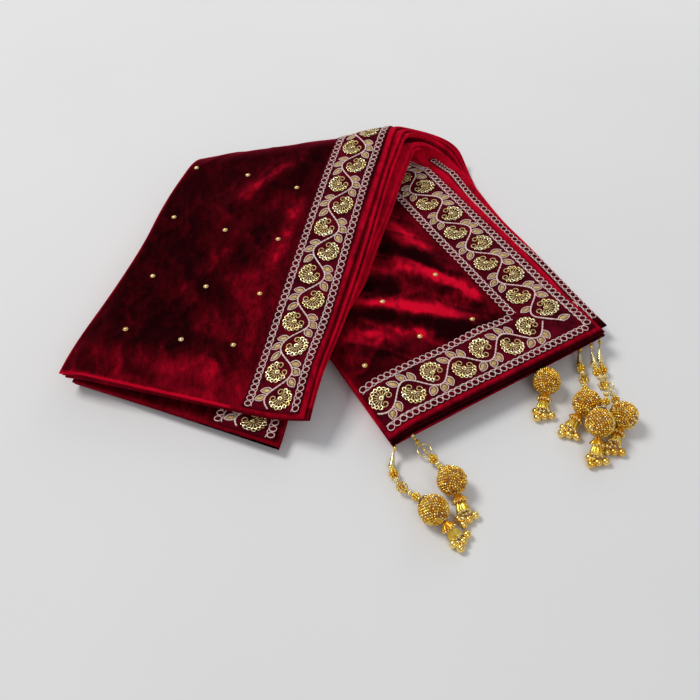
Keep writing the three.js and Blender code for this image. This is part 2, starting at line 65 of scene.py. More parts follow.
# The leaves that show at the edges: depth in the stack, reach past the right edge and inset from the left
# edge at each station, and how far each goes past the band's ends, at its left edge and at its right edge
LEAVES = {
    "inner": dict(depth=(0, 3.2), reach=[0, 0, 0, 12, 12, 6, -22], inset=[6, 8, 6, 24, 30, 24, 10],
                  right_end=(1, 1), left_end=(-8, -8)),
    "second": dict(depth=(4, 7.2), reach=[2, 8, 10, 22, 18, 14, -19], inset=[7, 9, 8, 24, 30, 24, 10],
                   right_end=(2, 1), left_end=(4, 31)),
    "third": dict(depth=(8, 11.2), reach=[15, 20, 34, 20, 16, 10, -18], inset=[8, 10, 9, 24, 30, 24, 9],
                  right_end=(-5, -10), left_end=(5, 33)),
    "fourth": dict(depth=(12.8, 16), reach=[8, 18, 40, 12, 9, 10, 4], inset=[9, 11, 10, 25, 31, 23, 5],
                   right_end=(-4, -6), left_end=(6, 10)),
    "fifth": dict(depth=(16.8, 20), reach=[5, 14, 45, 8, 5, 6, 3], inset=[10, 12, 10, 25, 31, 22, 4],
                  right_end=(-3, -6), left_end=(7, 11)),
    "outer": dict(depth=(20.8, 24), reach=[3, 11, 49, 0, 0, 0, 0], inset=[11, 12, 11, 26, 32, 22, 3],
                  right_end=(-5, -8), left_end=(9, 13)),
}

# Ridges of the two faces that show: from a, from b, to a, to b, height, half width
RIDGES = {
    "inner": [(-112, -14, -189, -40, 5.5, 13), (-161, -9, -234, -36, 5.0, 12), (-183, 61, -212, 29, 4.5, 12),
              (-212, 29, -267, -18, 5.0, 13), (-130, 80, -165, 20, 3.5, 14)],
    "outer": [(208, 21, 132, -31, 3.5, 15), (132, -31, 98, -54, 3.0, 13), (342, -30, 296, 40, 2.2, 18),
              (385, 80, 372, -20, 2.5, 16)],
}

# The seeds of the faces' crumples, and how calm they are under the border and over what distance beside it
CRUMPLE_SEED = {"outer": 2.0, "inner": 17.0}
CALM_BORDER, CALM_OVER = 0.35, 26

# The border: the ribbon's width, how far inside the cloth's edges it lies, its heights over the velvet, and
# the loops along its sides
BORDER_WIDTH, BORDER_MARGIN = 50.0, 9.5
BORDER_OUT = -HALF + BORDER_MARGIN
RIBBON_LIFT, RIBBON_TOP = 0.25, 0.9
LOOP_ROW, LOOP_PITCH, LOOP_RADIUS, BASE_CORD = 3.0, 6.2, 2.8, 6.3
# Radii of the cords: of the loops, of the straight row beside them, round the leaves and along the vine
LOOP_CORD, ROW_CORD, LEAF_CORD, VINE_CORD = 0.37, 0.38, 0.46, 0.5
# The running pattern: half a repeat, the vine's middle and swing, and the flowers, each a fan of sequins
HALF_PERIOD = 26.35
PATTERN_MIDDLE, VINE_SWING, FLOWER_OFFSET = 24.6, 9.3, 6.2
FAN_RADIUS, FAN_SPREAD, FAN_COUNT, FAN_LEAN = 8.7, 1.85, 10, 0.9
# The leaves beside each flower: where along the vine, lean and length. The flower's petals: reach and height.
# The rows of a leaf's fill: size and height
LEAF_SPRIGS = ((-9.2, 1.45, 10.5), (-3.0, 1.0, 11.5), (5.4, 0.68, 11.0))
PETAL = ((2.0, 0.2), (4.0, 0.45), (6.8, 0.4))
LEAF_FILL = ((1.0, 0.02), (0.9, 0.3), (0.6, 0.42))
# How far the leaves keep from the edges, the curls' radius, and the sequins' hole, radii and sides
LEAF_CLEAR, CURL_RADIUS = 7.6, 3.3
SEQUIN_HOLE, SEQUIN_RADIUS, MIDDLE_SEQUIN, SEQUIN_SIDES = 0.85, 2.1, 2.3, 12

# The camera that the photograph was taken with, fitted to the straight rows of the border
CAMERA_HEIGHT_ANGLE, CAMERA_DISTANCE, CAMERA_ROLL, CAMERA_FOCAL_PX = 0.8716, 777.8, 0.0405, 820.1
IMAGE_SIDE, SENSOR = 700, 36.0

# Each tassel: the leaf that it hangs from and where across it, the strand's bends, the ball's middle and the
# bell's mouth, measured from the point that the camera looks at
TASSELS = [
    dict(leaf="second", root_b=107, bends=[(31.5, -131, 6), (35, -150, 6)], ball=(61.3, -180.0, 12.8),
         bell=(75.0, -197.5)),
    dict(leaf="second", root_b=92, bends=[(55, -114, 8), (66, -128, 6)], ball=(78.7, -154.1, 12.8),
         bell=(87.0, -185.0)),
    dict(leaf="fourth", root_b=-48, bends=[(171, -42, 9), (171.6, -44, 9)], ball=(174.2, -56.2, 12.8),
         bell=(167.5, -80.0)),
    dict(leaf="second", root_b=-92, bends=[(210.5, -26, 8), (210, -48, 6)], ball=(204.6, -82.4, 12.8),
         bell=(189.0, -100.5)),
    dict(leaf="second", root_b=-103, bends=[(219.5, -40, 15), (219, -84, 24)], ball=(208.8, -107.6, 19.0),
         bell=(203.0, -131.0)),
    dict(leaf="second", root_b=-114, bends=[(229, -30, 8), (230.5, -60, 6)], ball=(232.8, -97.0, 12.8),
         bell=(216.0, -129.0)),
]
BALL_RADIUS, BELL_LENGTH, BELL_MOUTH, BELL_DROOP = 12.8, 15.0, 6.4, 0.6
PEARL_RADIUS, PEARL_COUNT, PEARL_SPREAD, PEARL_STAGGER, PEARL_FAN = 3.6, 4, 5.8, 3.2, 1.2
THREAD_RADIUS = 0.7


# The bend and its tables, as in the frame

def smooth(x):
    t = np.clip(x, 0.0, 1.0)
    return t * t * (3 - 2 * t)


def mix(low, high, share):
    return low + (high - low) * share


def along(values, a):
    a = np.asarray(a, float)
    value = np.full_like(a, values[0])
    for i in range(len(STATIONS) - 1):
        share = smooth((a - STATIONS[i]) / (STATIONS[i + 1] - STATIONS[i]))
        value = np.where(a > STATIONS[i], mix(values[i], values[i + 1], share), value)
    return value


def heights_at(b):
    """How flat the stack is pressed at b, and how much the crest is puffed up there."""
    press = PRESS_EDGE + (1 - PRESS_EDGE) * smooth((HALF - b) / PRESS_OVER)
    puff = PUFF_EDGE + PUFF_FIELD * smooth((HALF - b) / PUFF_FIELD_OVER)
    return press, puff + PUFF_OPEN * smooth((PUFF_OPEN_FROM - b) / PUFF_OPEN_OVER)


def upper_arm_height(a, b, w, past, side, outside, gap):
    press, puff = heights_at(b)
    carried = smooth((HALF + CARRIED_BEYOND - side) / CARRIED_OVER)
    held_over = mix(HELD_INNER, HELD_OUTER, np.maximum(w, -20) / STACK)
    near = np.maximum(1 - past / held_over, 0) ** CREST_CURVE
    lift = carried + near - carried * near
    fade = np.maximum(1 - past / FADE_LENGTH, 0) ** CREST_CURVE
    height = press * w + STACK * lift * mix(press, 1, smooth(past / START_OVER))
    height = height + (2 * INNER_RADIUS + gap) * puff * fade
    return height + UPPER_END_LIFT * outside * smooth((a - (LEFT_LENGTH - END_OVER)) / END_OVER)


def lower_arm_height(a, b, w, run, angle, gap):
    press, puff = heights_at(b)
    low = press * (STACK - w)
    high = press * (STACK + w) + (2 * INNER_RADIUS + gap) * puff
    height = (low + high) / 2 - (high - low) / 2 * np.cos(angle)
    top = 1 - smooth((w - 2) / 4)
    raised = LOWER_END_LIFT * top * smooth((-a - (RIGHT_LENGTH - END_OVER)) / END_OVER)
    return np.where(run < 0, height + raised, height)


def place(a, b, w):
    """Carries points of the flat band, in millimetres, to their place in the shawl."""
    a, b, w = np.broadcast_arrays(np.asarray(a, float), np.asarray(b, float), np.asarray(w, float))
    across = a * math.sin(SKEW) + b * math.cos(SKEW)
    run = a * math.cos(SKEW) - b * math.sin(SKEW)
    outside = smooth((w - GROUP_SPLIT) / 4)
    gap = GROUP_GAP * outside
    radius = INNER_RADIUS + w + 0.6 * gap
    angle = np.clip(run / BEND_LENGTH, 0, 1) * math.pi
    past, before = np.maximum(run - BEND_LENGTH, 0), np.maximum(-run, 0)
    reach = past + before - radius * np.sin(angle)
    side = across * math.cos(SKEW) + reach * math.sin(SKEW)
    z = np.where(past > 0, upper_arm_height(a, b, w, past, side, outside, gap),
                 lower_arm_height(a, b, w, run, angle, gap))
    x = BEND_X - across * math.cos(TURN) + reach * math.sin(TURN)
    y = BEND_Y - across * math.sin(TURN) - reach * math.cos(TURN)
    return np.stack([x, y, z], -1)


NOISE_SIDE = 64
NOISE = np.random.RandomState(7).rand(NOISE_SIDE, NOISE_SIDE)


def noise(x, y):
    """Smooth seeded noise from -0.5 to 0.5."""
    xi, yi = np.floor(x).astype(int), np.floor(y).astype(int)
    fx, fy = smooth(x - xi), smooth(y - yi)
    cell = lambda i, j: NOISE[(xi + i) % NOISE_SIDE, (yi + j) % NOISE_SIDE]
    return mix(mix(cell(0, 0), cell(1, 0), fx), mix(cell(0, 1), cell(1, 1), fx), fy) - 0.5


def from_segment(a, b, a0, b0, a1, b1):
    """How far along a segment a point lies, from 0 to 1, and how far away from it."""
    la, lb = a1 - a0, b1 - b0
    t = np.clip(((a - a0) * la + (b - b0) * lb) / (la * la + lb * lb), 0, 1)
    return t, np.hypot(a - a0 - t * la, b - b0 - t * lb)


def ridge_height(ridges, a, b):
    height = np.zeros(np.broadcast(a, b).shape)
    for *segment, high, half in ridges:
        t, away = from_segment(a, b, *segment)
        height = np.maximum(height, high * (0.6 + 0.4 * np.sin(math.pi * t)) * np.exp(-(away / half) ** 2))
    return height


def crumple(a, b, seed):
    """Soft folds and small creases of velvet that has been handled."""
    slant = 0.8 * a + 0.6 * b
    cross = -0.6 * a + 0.8 * b
    soft = noise(slant / 46 + seed, cross / 30)
    mid = noise(slant / 21 + 9, cross / 12 + seed)
    fine = noise(a / 7.5 + seed, b / 11 + 5)
    crease = np.maximum(0.22 - np.abs(noise(slant / 34 + 3, cross / 19 + seed)), 0) / 0.22
    return 1.3 * soft + 0.7 * mid + 0.22 * fine + 0.55 * crease ** 2


def edge_distance(leaf, a, b):
    """How far a point of the band lies inside a leaf's outline."""
    share = np.clip((HALF - b) / BAND_WIDTH, 0, 1)
    left = HALF - along(leaf["inset"], a) - b
    right = b + HALF + along(leaf["reach"], a)
    start = a + RIGHT_LENGTH + mix(*leaf["right_end"], share)
    end = LEFT_LENGTH + mix(*leaf["left_end"], share) - a
    return np.minimum(np.minimum(left, right), np.minimum(start, end))


def leaf_depth(name, a, b, face):
    """The depth of a leaf's near face (0) or far face (1), rounded at its outline."""
    leaf = LEAVES[name]
    low, high = leaf["depth"]
    half = (high - low) / 2
    inside = edge_distance(leaf, a, b)
    round_off = half * np.sqrt(np.clip(1 - (1 - np.clip(inside / half, 0, 1)) ** 2, 0, 1))
    depth = (low + high) / 2 + (round_off if face else -round_off)
    shown = {"inner": 0, "outer": 1}.get(name)
    if shown == face:
        height = ridge_height(RIDGES[name], a, b) + crumple(a, b, CRUMPLE_SEED[name]) + 0.3
        field = smooth((b - BORDER_OUT - BORDER_WIDTH - 2) / CALM_OVER)
        calm = mix(CALM_BORDER, 1.0, field) * smooth((inside - 1.5) / 9)
        calm = calm * (smooth((a - 5) / 45) if face else smooth((125 - a) / 45))
        depth = depth + (1 if face else -1) * np.maximum(height, 0) * calm
    return depth


# Mesh making

def edit_mesh(mesh, change):
    bm = bmesh.new()
    bm.from_mesh(mesh)
    change(bm)
    bm.to_mesh(mesh)
    bm.free()


def add_object(name, data):
    made = bpy.data.objects.new(name, data)
    bpy.context.scene.collection.objects.link(made)
    return made


def unit(vectors):
    return vectors / np.maximum(np.linalg.norm(vectors, axis=-1, keepdims=True), 1e-9)


def turns(count):
    """Angles spaced evenly round a circle."""
    return np.arange(count) * 2 * math.pi / count


def turned_to(points, direction, base):
    """Turns points from the third axis to a direction and moves them to a base."""
    z = unit(np.asarray(direction, float))
    other = np.array([0.0, 0.0, 1.0]) if abs(z[2]) < 0.9 else np.array([1.0, 0.0, 0.0])
    x = unit(np.cross(other, z))
    return points @ np.stack([x, np.cross(z, x), z]) + np.asarray(base, float)


class Form:
    """Gathers the points and faces of one piece, with a finish for each face."""

    def __init__(self, *finishes):
        self.finishes, self.points, self.faces, self.marks, self.count = finishes, [], [], [], 0

    def add(self, points, faces, finish=None):
        points = np.asarray(points, float).reshape(-1, 3)
        self.faces += [tuple(int(i) + self.count for i in face) for face in faces]
        self.marks += [self.finishes.index(finish) if finish else 0] * len(faces)
        self.points.append(points)
        self.count += len(points)

    def put(self, shape, axis, spot, finish=None, shift=(0, 0, 0)):
        """Adds a shape made round the third axis, turned to an axis and moved to a spot."""
        points, faces = shape
        self.add(turned_to(points + np.asarray(shift, float), axis, spot), faces, finish)

    def build(self, name, materials, carry=None):
        points = np.concatenate(self.points)
        if carry:
            points = carry(points)
        mesh = bpy.data.meshes.new(name)
        mesh.from_pydata((points * MM).tolist(), [], self.faces)
        for finish in self.finishes:
            mesh.materials.append(materials[finish])
        mesh.polygons.foreach_set("material_index", self.marks)
        mesh.polygons.foreach_set("use_smooth", [True] * len(self.faces))
        edit_mesh(mesh, lambda bm: bmesh.ops.recalc_face_normals(bm, faces=bm.faces))
        mesh.update()
        piece = add_object(name, mesh)
        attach(piece, "root")
        return piece


def grid_faces(rows, columns, close_rows=False, close_columns=False, start=0):
    faces = []
    for i in range(rows if close_rows else rows - 1):
        for j in range(columns if close_columns else columns - 1):
            k, m = (i + 1) % rows, (j + 1) % columns
            faces.append((start + i * columns + j, start + k * columns + j,
                          start + k * columns + m, start + i * columns + m))
    return faces


def end_caps(rows, sides):
    """The faces that close a stack of rings at its first and last one."""
    return [tuple(range(sides)), tuple(range((rows - 1) * sides, rows * sides))[::-1]]


def tube(path, radius, sides=5, closed=False, flat=1.0):
    """A tube along points: its points and faces. flat squashes it along the third axis."""
    path = np.asarray(path, float)
    count = len(path)
    radius = np.broadcast_to(np.asarray(radius, float), (count,))
    ahead = unit(np.roll(path, -1, 0) - np.roll(path, 1, 0) if closed else np.gradient(path, axis=0))
    up = np.where(np.abs(ahead[:, 2:]) > 0.95, [1.0, 0.0, 0.0], [0.0, 0.0, 1.0])
    side = unit(np.cross(ahead, up))
    up = np.cross(side, ahead)
    angles = turns(sides)
    ring = side[:, None] * np.cos(angles)[None, :, None] + flat * up[:, None] * np.sin(angles)[None, :, None]
    points = (path[:, None] + ring * radius[:, None, None]).reshape(-1, 3)
    faces = grid_faces(count, sides, close_rows=closed, close_columns=True)
    return points, faces if closed else faces + end_caps(count, sides)


def lathe(profile, sides=16, flutes=0, depth=0.0):
    """A turned form round the third axis from (radius, height) pairs, with optional flutes."""
    angles, rows = turns(sides), len(profile)
    wave = 1 + depth * np.cos(flutes * angles)
    points = [np.stack([radius * wave * np.cos(angles), radius * wave * np.sin(angles),
                        np.full(sides, float(height))], -1) for radius, height in profile]
    return np.concatenate(points), grid_faces(rows, sides, close_columns=True) + end_caps(rows, sides)


def ball(radius, sides=8, rings=5):
    angles = np.linspace(0, math.pi, rings + 1)
    tiny = 0.02 * radius
    return lathe([(max(radius * math.sin(t), tiny), -radius * math.cos(t)) for t in angles], sides)


# Materials

def new_material(name):
    material = bpy.data.materials.new(name)
    material.use_nodes = True
    tree = material.node_tree
    return material, tree, tree.nodes["Principled BSDF"]


def fill_inputs(tree, node, inputs):
    """Sets a node's inputs, each to a value or to a link from another node."""
    for key, value in inputs.items():
        if isinstance(value, bpy.types.NodeSocket):
            tree.links.new(value, node.inputs[key])
        else:
            node.inputs[key].default_value = value


def add_node(tree, kind, inputs=None, **settings):
    node = tree.nodes.new(kind)
    for key, value in settings.items():
        setattr(node, key, value)
    fill_inputs(tree, node, inputs or {})
    return node


def maths(tree, operation, *values):
    node = add_node(tree, "ShaderNodeMath", dict(enumerate(values)), operation=operation)
    return node.outputs[0]


def ramp(tree, factor, stops):
    node = add_node(tree, "ShaderNodeValToRGB", {"Fac": factor})
    elements = node.color_ramp.elements
    while len(elements) < len(stops):
        elements.new(0.5)
    for element, (position, colour) in zip(elements, stops):
        element.position = position
        element.color = (*colour, 1)
    return node.outputs["Color"]


def place_noise(tree, scale, detail=4.0, roughness=0.6, stretch=(1, 1, 1)):
    where = add_node(tree, "ShaderNodeTexCoord").outputs["Object"]
    mapped = add_node(tree, "ShaderNodeMapping", {"Vector": where, "Scale": stretch}).outputs["Vector"]
    inputs = {"Vector": mapped, "Scale": scale, "Detail": detail, "Roughness": roughness}
    return add_node(tree, "ShaderNodeTexNoise", inputs).outputs["Fac"]


def bump(tree, height, strength, distance, below=None):
    inputs = {"Height": height, "Strength": strength, "Distance": distance}
    if below:
        inputs["Normal"] = below
    return add_node(tree, "ShaderNodeBump", inputs).outputs["Normal"]


def plus_grain(tree, value, grain, strength):
    """Adds noise around its own middle to a value."""
    swing = maths(tree, "MULTIPLY_ADD", grain, strength, -strength / 2)
    return maths(tree, "ADD", value, swing)


# The velvet's grain, from coarse to fine: scale, detail, roughness and stretch of the noise, and its strength
VELVET_GRAIN = {"brushed": ((55.0, 5.0, 0.7, (1, 0.55, 1)), 0.55),
                "streaks": ((190.0, 4.0, 0.75, (1, 0.4, 1)), 0.60),
                "speckle": ((700.0, 3.0, 0.8), 0.42)}
VELVET_SHADES = [(0.03, (0.010, 0.0001, 0.0008)), (0.30, (0.050, 0.0004, 0.0024)),
                 (0.58, (0.19, 0.0008, 0.0075)), (0.95, (0.66, 0.0022, 0.022))]
RIBBON_SHADES = [(0.30, (0.028, 0.0004, 0.003)), (0.52, (0.075, 0.0008, 0.006)),
                 (0.78, (0.16, 0.0012, 0.010))]
GRAZING_COLOUR = (0.48, 0.009, 0.042, 1)


def velvet_material():
    """Velvet: near black to crimson by a painted tone per point, holding painted sheen and shade on its
    folds, edges and margins and streaks of pile, with random grain, and crimson where it is seen along.
    """
    material, tree, shader = new_material("velvet")
    # The tone per point is painted sheen and shade with streaks of pile; the grain below adds random tone.
    pile_sheen_level = add_node(tree, "ShaderNodeAttribute", attribute_name="pile_sheen_and_shade").outputs["Fac"]
    grain = {}
    for name, (settings, strength) in VELVET_GRAIN.items():
        grain[name] = place_noise(tree, *settings)
        pile_sheen_level = plus_grain(tree, pile_sheen_level, grain[name], strength)
    weight = add_node(tree, "ShaderNodeLayerWeight", {"Blend": 0.36}).outputs["Facing"]
    grazing = maths(tree, "POWER", weight, 3.4)
    both = {0: grazing, 6: ramp(tree, pile_sheen_level, VELVET_SHADES), 7: GRAZING_COLOUR}
    rough = bump(tree, grain["brushed"], 0.6, 0.002)
    rough = bump(tree, grain["streaks"], 0.5, 0.0008, rough)
    fill_inputs(tree, shader, {
        "Base Color": add_node(tree, "ShaderNodeMix", both, data_type="RGBA").outputs[2],
        "Normal": bump(tree, place_noise(tree, 1500.0, 2.0, 0.7), 0.35, 0.0005, rough),
        "Roughness": 0.9, "Specular IOR Level": 0.015, "Sheen Weight": 0.07, "Sheen Roughness": 0.35,
        "Sheen Tint": (0.85, 0.02, 0.08, 1)})
    return material


def ribbon_material():
    """The border's ground: dark woven velvet ribbon."""
    material, tree, shader = new_material("ribbon_ground")
    tone = plus_grain(tree, place_noise(tree, 60.0, 4.0, 0.7), place_noise(tree, 800.0, 2.0, 0.7), 0.4)
    fill_inputs(tree, shader, {
        "Base Color": ramp(tree, tone, RIBBON_SHADES),
        "Normal": bump(tree, place_noise(tree, 1800.0, 2.0), 0.4, 0.0004),
        "Roughness": 0.85, "Specular IOR Level": 0.03, "Sheen Weight": 0.05,
        "Sheen Tint": (0.8, 0.05, 0.1, 1)})
    return material


def thread_material(name, dark, light, roughness, metallic, sheen):
    """Silky thread, its strands shown by a fine ripple."""
    material, tree, shader = new_material(name)
    fill_inputs(tree, shader, {
        "Base Color": ramp(tree, place_noise(tree, 420.0, 3.0), [(0.3, dark), (0.68, light)]),
        "Normal": bump(tree, place_noise(tree, 2600.0, 2.0, 0.6, (1, 1, 0.4)), 0.5, 0.0003),
        "Roughness": roughness, "Metallic": metallic, "Sheen Weight": sheen})
    return material


def metal_material(name, dark, light, roughness, ripple, scale, metallic):
    """Gilt metal, darker and brighter in a random pattern of wear, rougher where it is darker."""
    material, tree, shader = new_material(name)
    tone = place_noise(tree, scale, 4.0, 0.6)
    limits = {"Value": tone, "To Min": roughness * 1.5, "To Max": roughness}
    fill_inputs(tree, shader, {
        "Base Color": ramp(tree, tone, [(0.34, dark), (0.62, light)]),
        "Roughness": add_node(tree, "ShaderNodeMapRange", limits).outputs["Result"],
        "Normal": bump(tree, place_noise(tree, 900.0, 2.0), ripple, 0.0004),
        "Metallic": metallic})
    return material


# Metal finishes: darker and brighter colour, roughness, ripple, scale of the wear, metallic
METALS = {
    "sequin": ((0.80, 0.60, 0.20), (1.0, 0.90, 0.58), 0.2, 0.1, 90.0, 1.0),
    "stud": ((0.75, 0.42, 0.09), (1.0, 0.85, 0.42), 0.18, 0.1, 120.0, 0.85),
    "gold": ((0.84, 0.42, 0.015), (1.0, 0.78, 0.14), 0.2, 0.25, 220.0, 0.8),
    "old_gold": ((0.42, 0.12, 0.005), (0.98, 0.54, 0.04), 0.26, 0.25, 220.0, 0.8),
    "pale_gold": ((0.95, 0.66, 0.20), (1.0, 0.90, 0.50), 0.16, 0.1, 150.0, 0.85),
    "pearl_gold": ((0.85, 0.50, 0.08), (1.0, 0.76, 0.24), 0.13, 0.05, 60.0, 0.9),
}
# Thread finishes: darker and brighter colour, roughness, metallic, sheen
THREADS = {
    "cord": ((0.62, 0.38, 0.35), (0.98, 0.76, 0.70), 0.5, 0.0, 0.3),
    "satin": ((0.40, 0.22, 0.07), (0.90, 0.64, 0.28), 0.42, 0.2, 0.3),
    "stitch": ((0.46, 0.30, 0.09), (0.88, 0.68, 0.32), 0.36, 0.4, 0.0),
    "ball_cloth": ((0.030, 0.0006, 0.002), (0.11, 0.002, 0.008), 0.8, 0.0, 0.3),
    "ball_thread": ((0.16, 0.045, 0.004), (0.42, 0.16, 0.012), 0.6, 0.0, 0.3),
    "gold_thread": ((0.48, 0.22, 0.02), (0.95, 0.60, 0.12), 0.35, 0.6, 0.0),
}


def make_materials():
    materials = {"velvet": velvet_material(), "ribbon": ribbon_material()}
    for name, finish in METALS.items():
        materials[name] = metal_material(name, *finish)
    for name, finish in THREADS.items():
        materials[name] = thread_material(name, *finish)
    return materials


# Velvet leaves

# The grid's step on the faces that show and at the hidden leaves' edges, and where the hidden middle begins
FACE_STEP, EDGE_STEP, HIDDEN_FROM = 2.4, 4.5, 55.0
# The way along which a face's folds are painted brighter or darker by their tilt: painted sheen and shade
SHEEN_TILT_WAY = {"outer": (0.75, 0.35, 0.0), "inner": (-0.35, 0.85, 0.0)}

# Streaks of painted highlight and shade along the folds, where the pile also lies brighter or darker: from a,
# from b, to a, to b, half width, change
SHEEN_AND_PILE_STREAKS = {
    "outer": [(138, -16, 190, 12, 8, 0.34), (188, -54, 204, -44, 11, 0.36), (225, -54, 262, -48, 11, 0.42),
              (262, 12, 288, 24, 10, 0.16), (296, -22, 350, -50, 17, 0.20), (384, -30, 397, 20, 11, 0.15),
              (210, -30, 272, -14, 12, -0.16), (320, 20, 345, 52, 16, -0.10), (330, 60, 380, 80, 14, 0.05)],
    "inner": [(-166, -2, -200, -30, 8, 0.42), (-200, -30, -232, -52, 10, 0.36),
              (-222, -18, -232, -34, 14, 0.30), (-140, -4, -170, -44, 9, -0.42),
              (-188, 58, -215, 18, 7, 0.34), (-215, 18, -248, -6, 6, 0.36),
              (-180, 44, -188, 22, 10, -0.40), (-252, -2, -270, -40, 9, -0.36), (-214, 82, -242, 26, 8, 0.36),
              (-242, 26, -268, 16, 6, 0.26), (-248, 80, -250, 60, 10, -0.20), (-98, -30, -150, -38, 5, 0.30)],
}


def spaced(start, stop, step, rim):
    """Positions from start to stop, close together within a rim of each end."""
    ends = np.array([0.0, 0.05, 0.18, 0.4, 0.7, 1.05]) * rim
    middle = np.linspace(start + 1.7 * rim, stop - 1.7 * rim, max(int((stop - start) / step), 2))
    return np.concatenate([start + ends, middle, (stop - ends)[::-1]])


def leaf_grid(leaf, step, only_edges):
    """The grid of a leaf on the flat band, fine at its outline and coarse where its middle is hidden."""
    rim = (leaf["depth"][1] - leaf["depth"][0]) / 2
    t = spaced(0, BAND_LENGTH, step, rim) / BAND_LENGTH
    across = spaced(0, BAND_WIDTH, step, rim)
    if only_edges:
        middle = np.linspace(only_edges, BAND_WIDTH - only_edges, 5)
        near = across[across < only_edges]
        across = np.concatenate([near, middle, BAND_WIDTH - near[::-1]])
    share = across / BAND_WIDTH
    start = -RIGHT_LENGTH - mix(*leaf["right_end"], share)
    end = LEFT_LENGTH + mix(*leaf["left_end"], share)
    a = start[None, :] + (end - start)[None, :] * t[:, None]
    left = HALF - along(leaf["inset"], a)
    right = -HALF - along(leaf["reach"], a)
    from_left, from_right = across[None, :], (BAND_WIDTH - across)[None, :]
    wide = (left - right) / BAND_WIDTH
    b = np.where(share[None, :] < 0.5, left - from_left * np.where(from_left < 2 * rim, 1, wide),
                 right + from_right * np.where(from_right < 2 * rim, 1, wide))
    return a, b


def closed_sheet(near_face, far_face, rows, columns):
    """Two faces over the same grid, joined along their outline."""
    number = np.arange(rows * columns).reshape(rows, columns)
    rim = np.ones((rows, columns), bool)
    rim[1:-1, 1:-1] = False
    far_number = np.where(rim, number, number + rows * columns)
    joined = rim.reshape(-1)
    near_face[joined] = ((near_face + far_face) / 2)[joined]
    faces = []
    for numbers, order in ((number, 1), (far_number, -1)):
        corners = [numbers[:-1, :-1], numbers[1:, :-1], numbers[1:, 1:], numbers[:-1, 1:]]
        faces += np.stack(corners, -1).reshape(-1, 4)[:, ::order].tolist()
    return np.concatenate([near_face, far_face]), faces


def velvet_leaf(name, piece_name, step, materials, node, only_edges=0.0):
    """One folded leaf as a closed sheet with rounded edges, carried into place by the bend."""
    a, b = leaf_grid(LEAVES[name], step, only_edges)
    near_face, far_face = (place(a, b, leaf_depth(name, a, b, face)).reshape(-1, 3) for face in (0, 1))
    form = Form("velvet")
    form.add(*closed_sheet(near_face, far_face, *a.shape))
    piece = form.build(piece_name, materials)
    # The tone per point: painted sheen and shade of folds, edges and margins, with streaks of pile.
    pile_sheen_and_shade = pile_sheen_shade_tone(name, a, b, near_face, far_face).reshape(-1)
    layer = piece.data.attributes.new("pile_sheen_and_shade", "FLOAT", "POINT")
    layer.data.foreach_set("value", np.tile(pile_sheen_and_shade, 2).astype(np.float32))
    edit_mesh(piece.data, drop_loose_points)
    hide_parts(node)
    return piece


def grid_normals(points):
    return unit(np.cross(np.gradient(points, axis=0), np.gradient(points, axis=1)))


def streak_tone(streaks, a, b):
    """Ragged streaks of painted highlight and shade, brighter or darker than the pile round them."""
    ragged = 5 * noise(a / 11, b / 7) + 5 * noise(a / 5 + 2, b / 4 + 7)
    uneven = 1 + 1.3 * noise(a / 4.5 + 4, b / 3.6)
    total = np.zeros(a.shape)
    for *segment, half, change in streaks:
        away = from_segment(a, b, *segment)[1] + ragged
        total += change * np.exp(-(away / half) ** 2) * uneven
    return total


# Painted tones of the pile, from 0 dark to 1 bright: of a leaf's edge beside its fold, painted darker for the
# leaves deeper in the stack; at the lower arm's end, painted shade on the second to fourth leaves and bright
# on the fifth; how much painted highlight near the crest; the painted highlight of the fold itself; painted
# shade beyond the upper arm's end;
# the painted sheen of the margins and the painted highlight of the rims
EDGE_TONE = {"second": 0.74, "third": 0.68, "fourth": 0.40, "fifth": 0.40}
LOWER_END_LIGHT_AND_SHADE = {"second": 0.10, "third": 0.0, "fourth": 0.10, "fifth": 0.75}
CREST_HIGHLIGHT = {"edge": 0.14, "margin": 0.16}
FOLD_HIGHLIGHT, UPPER_END_SHADE, MARGIN_SHEEN, RIM_HIGHLIGHT = 0.84, 0.34, 0.66, 0.60


def edge_tone(name, a, inside):
    """The tone of a leaf that shows only at its edges: a painted highlight on its fold, brighter near the
    crest, painted shade in the crevices, at the lower arm's end and beyond the upper arm's end.
    """
    fold = 1 - smooth((inside - 1.0) / 3.0)
    near_crest = smooth((220 - a) / 120) * smooth((a + 60) / 60)
    tone = mix(EDGE_TONE[name] + CREST_HIGHLIGHT["edge"] * near_crest, FOLD_HIGHLIGHT, fold)
    # Painted shade at the lower arm's end, except on the fifth leaf, and beyond the upper arm's end.
    below = smooth((-a - (RIGHT_LENGTH - 26)) / 12)
    beyond = smooth((a - LEFT_LENGTH) / 4) * (1 - 0.35 * fold)
    return mix(mix(tone, LOWER_END_LIGHT_AND_SHADE[name], below), UPPER_END_SHADE, beyond)


def field_tone(name, a, b):
    """The tone of the two faces that show, without their folds, and how much the folds' painted sheen and
    shade change it. The upper face is darker near the crest and away from the border and brighter over its
    last stretch; the lower face has painted shade under the upper arm near the bend and is darker towards its
    end.
    """
    if name == "outer":
        tone = 0.08 + 0.24 * smooth((a - 90) / 120) * smooth((62 - b) / 110)
        return tone + 0.16 * smooth((a - 372) / 30), 1.7
    # Painted shade under the upper arm near the bend; darker towards the lower arm's end.
    return 0.30 + 0.10 * smooth((-a - 60) / 60) - 0.10 * smooth((-a - 235) / 30), 2.3


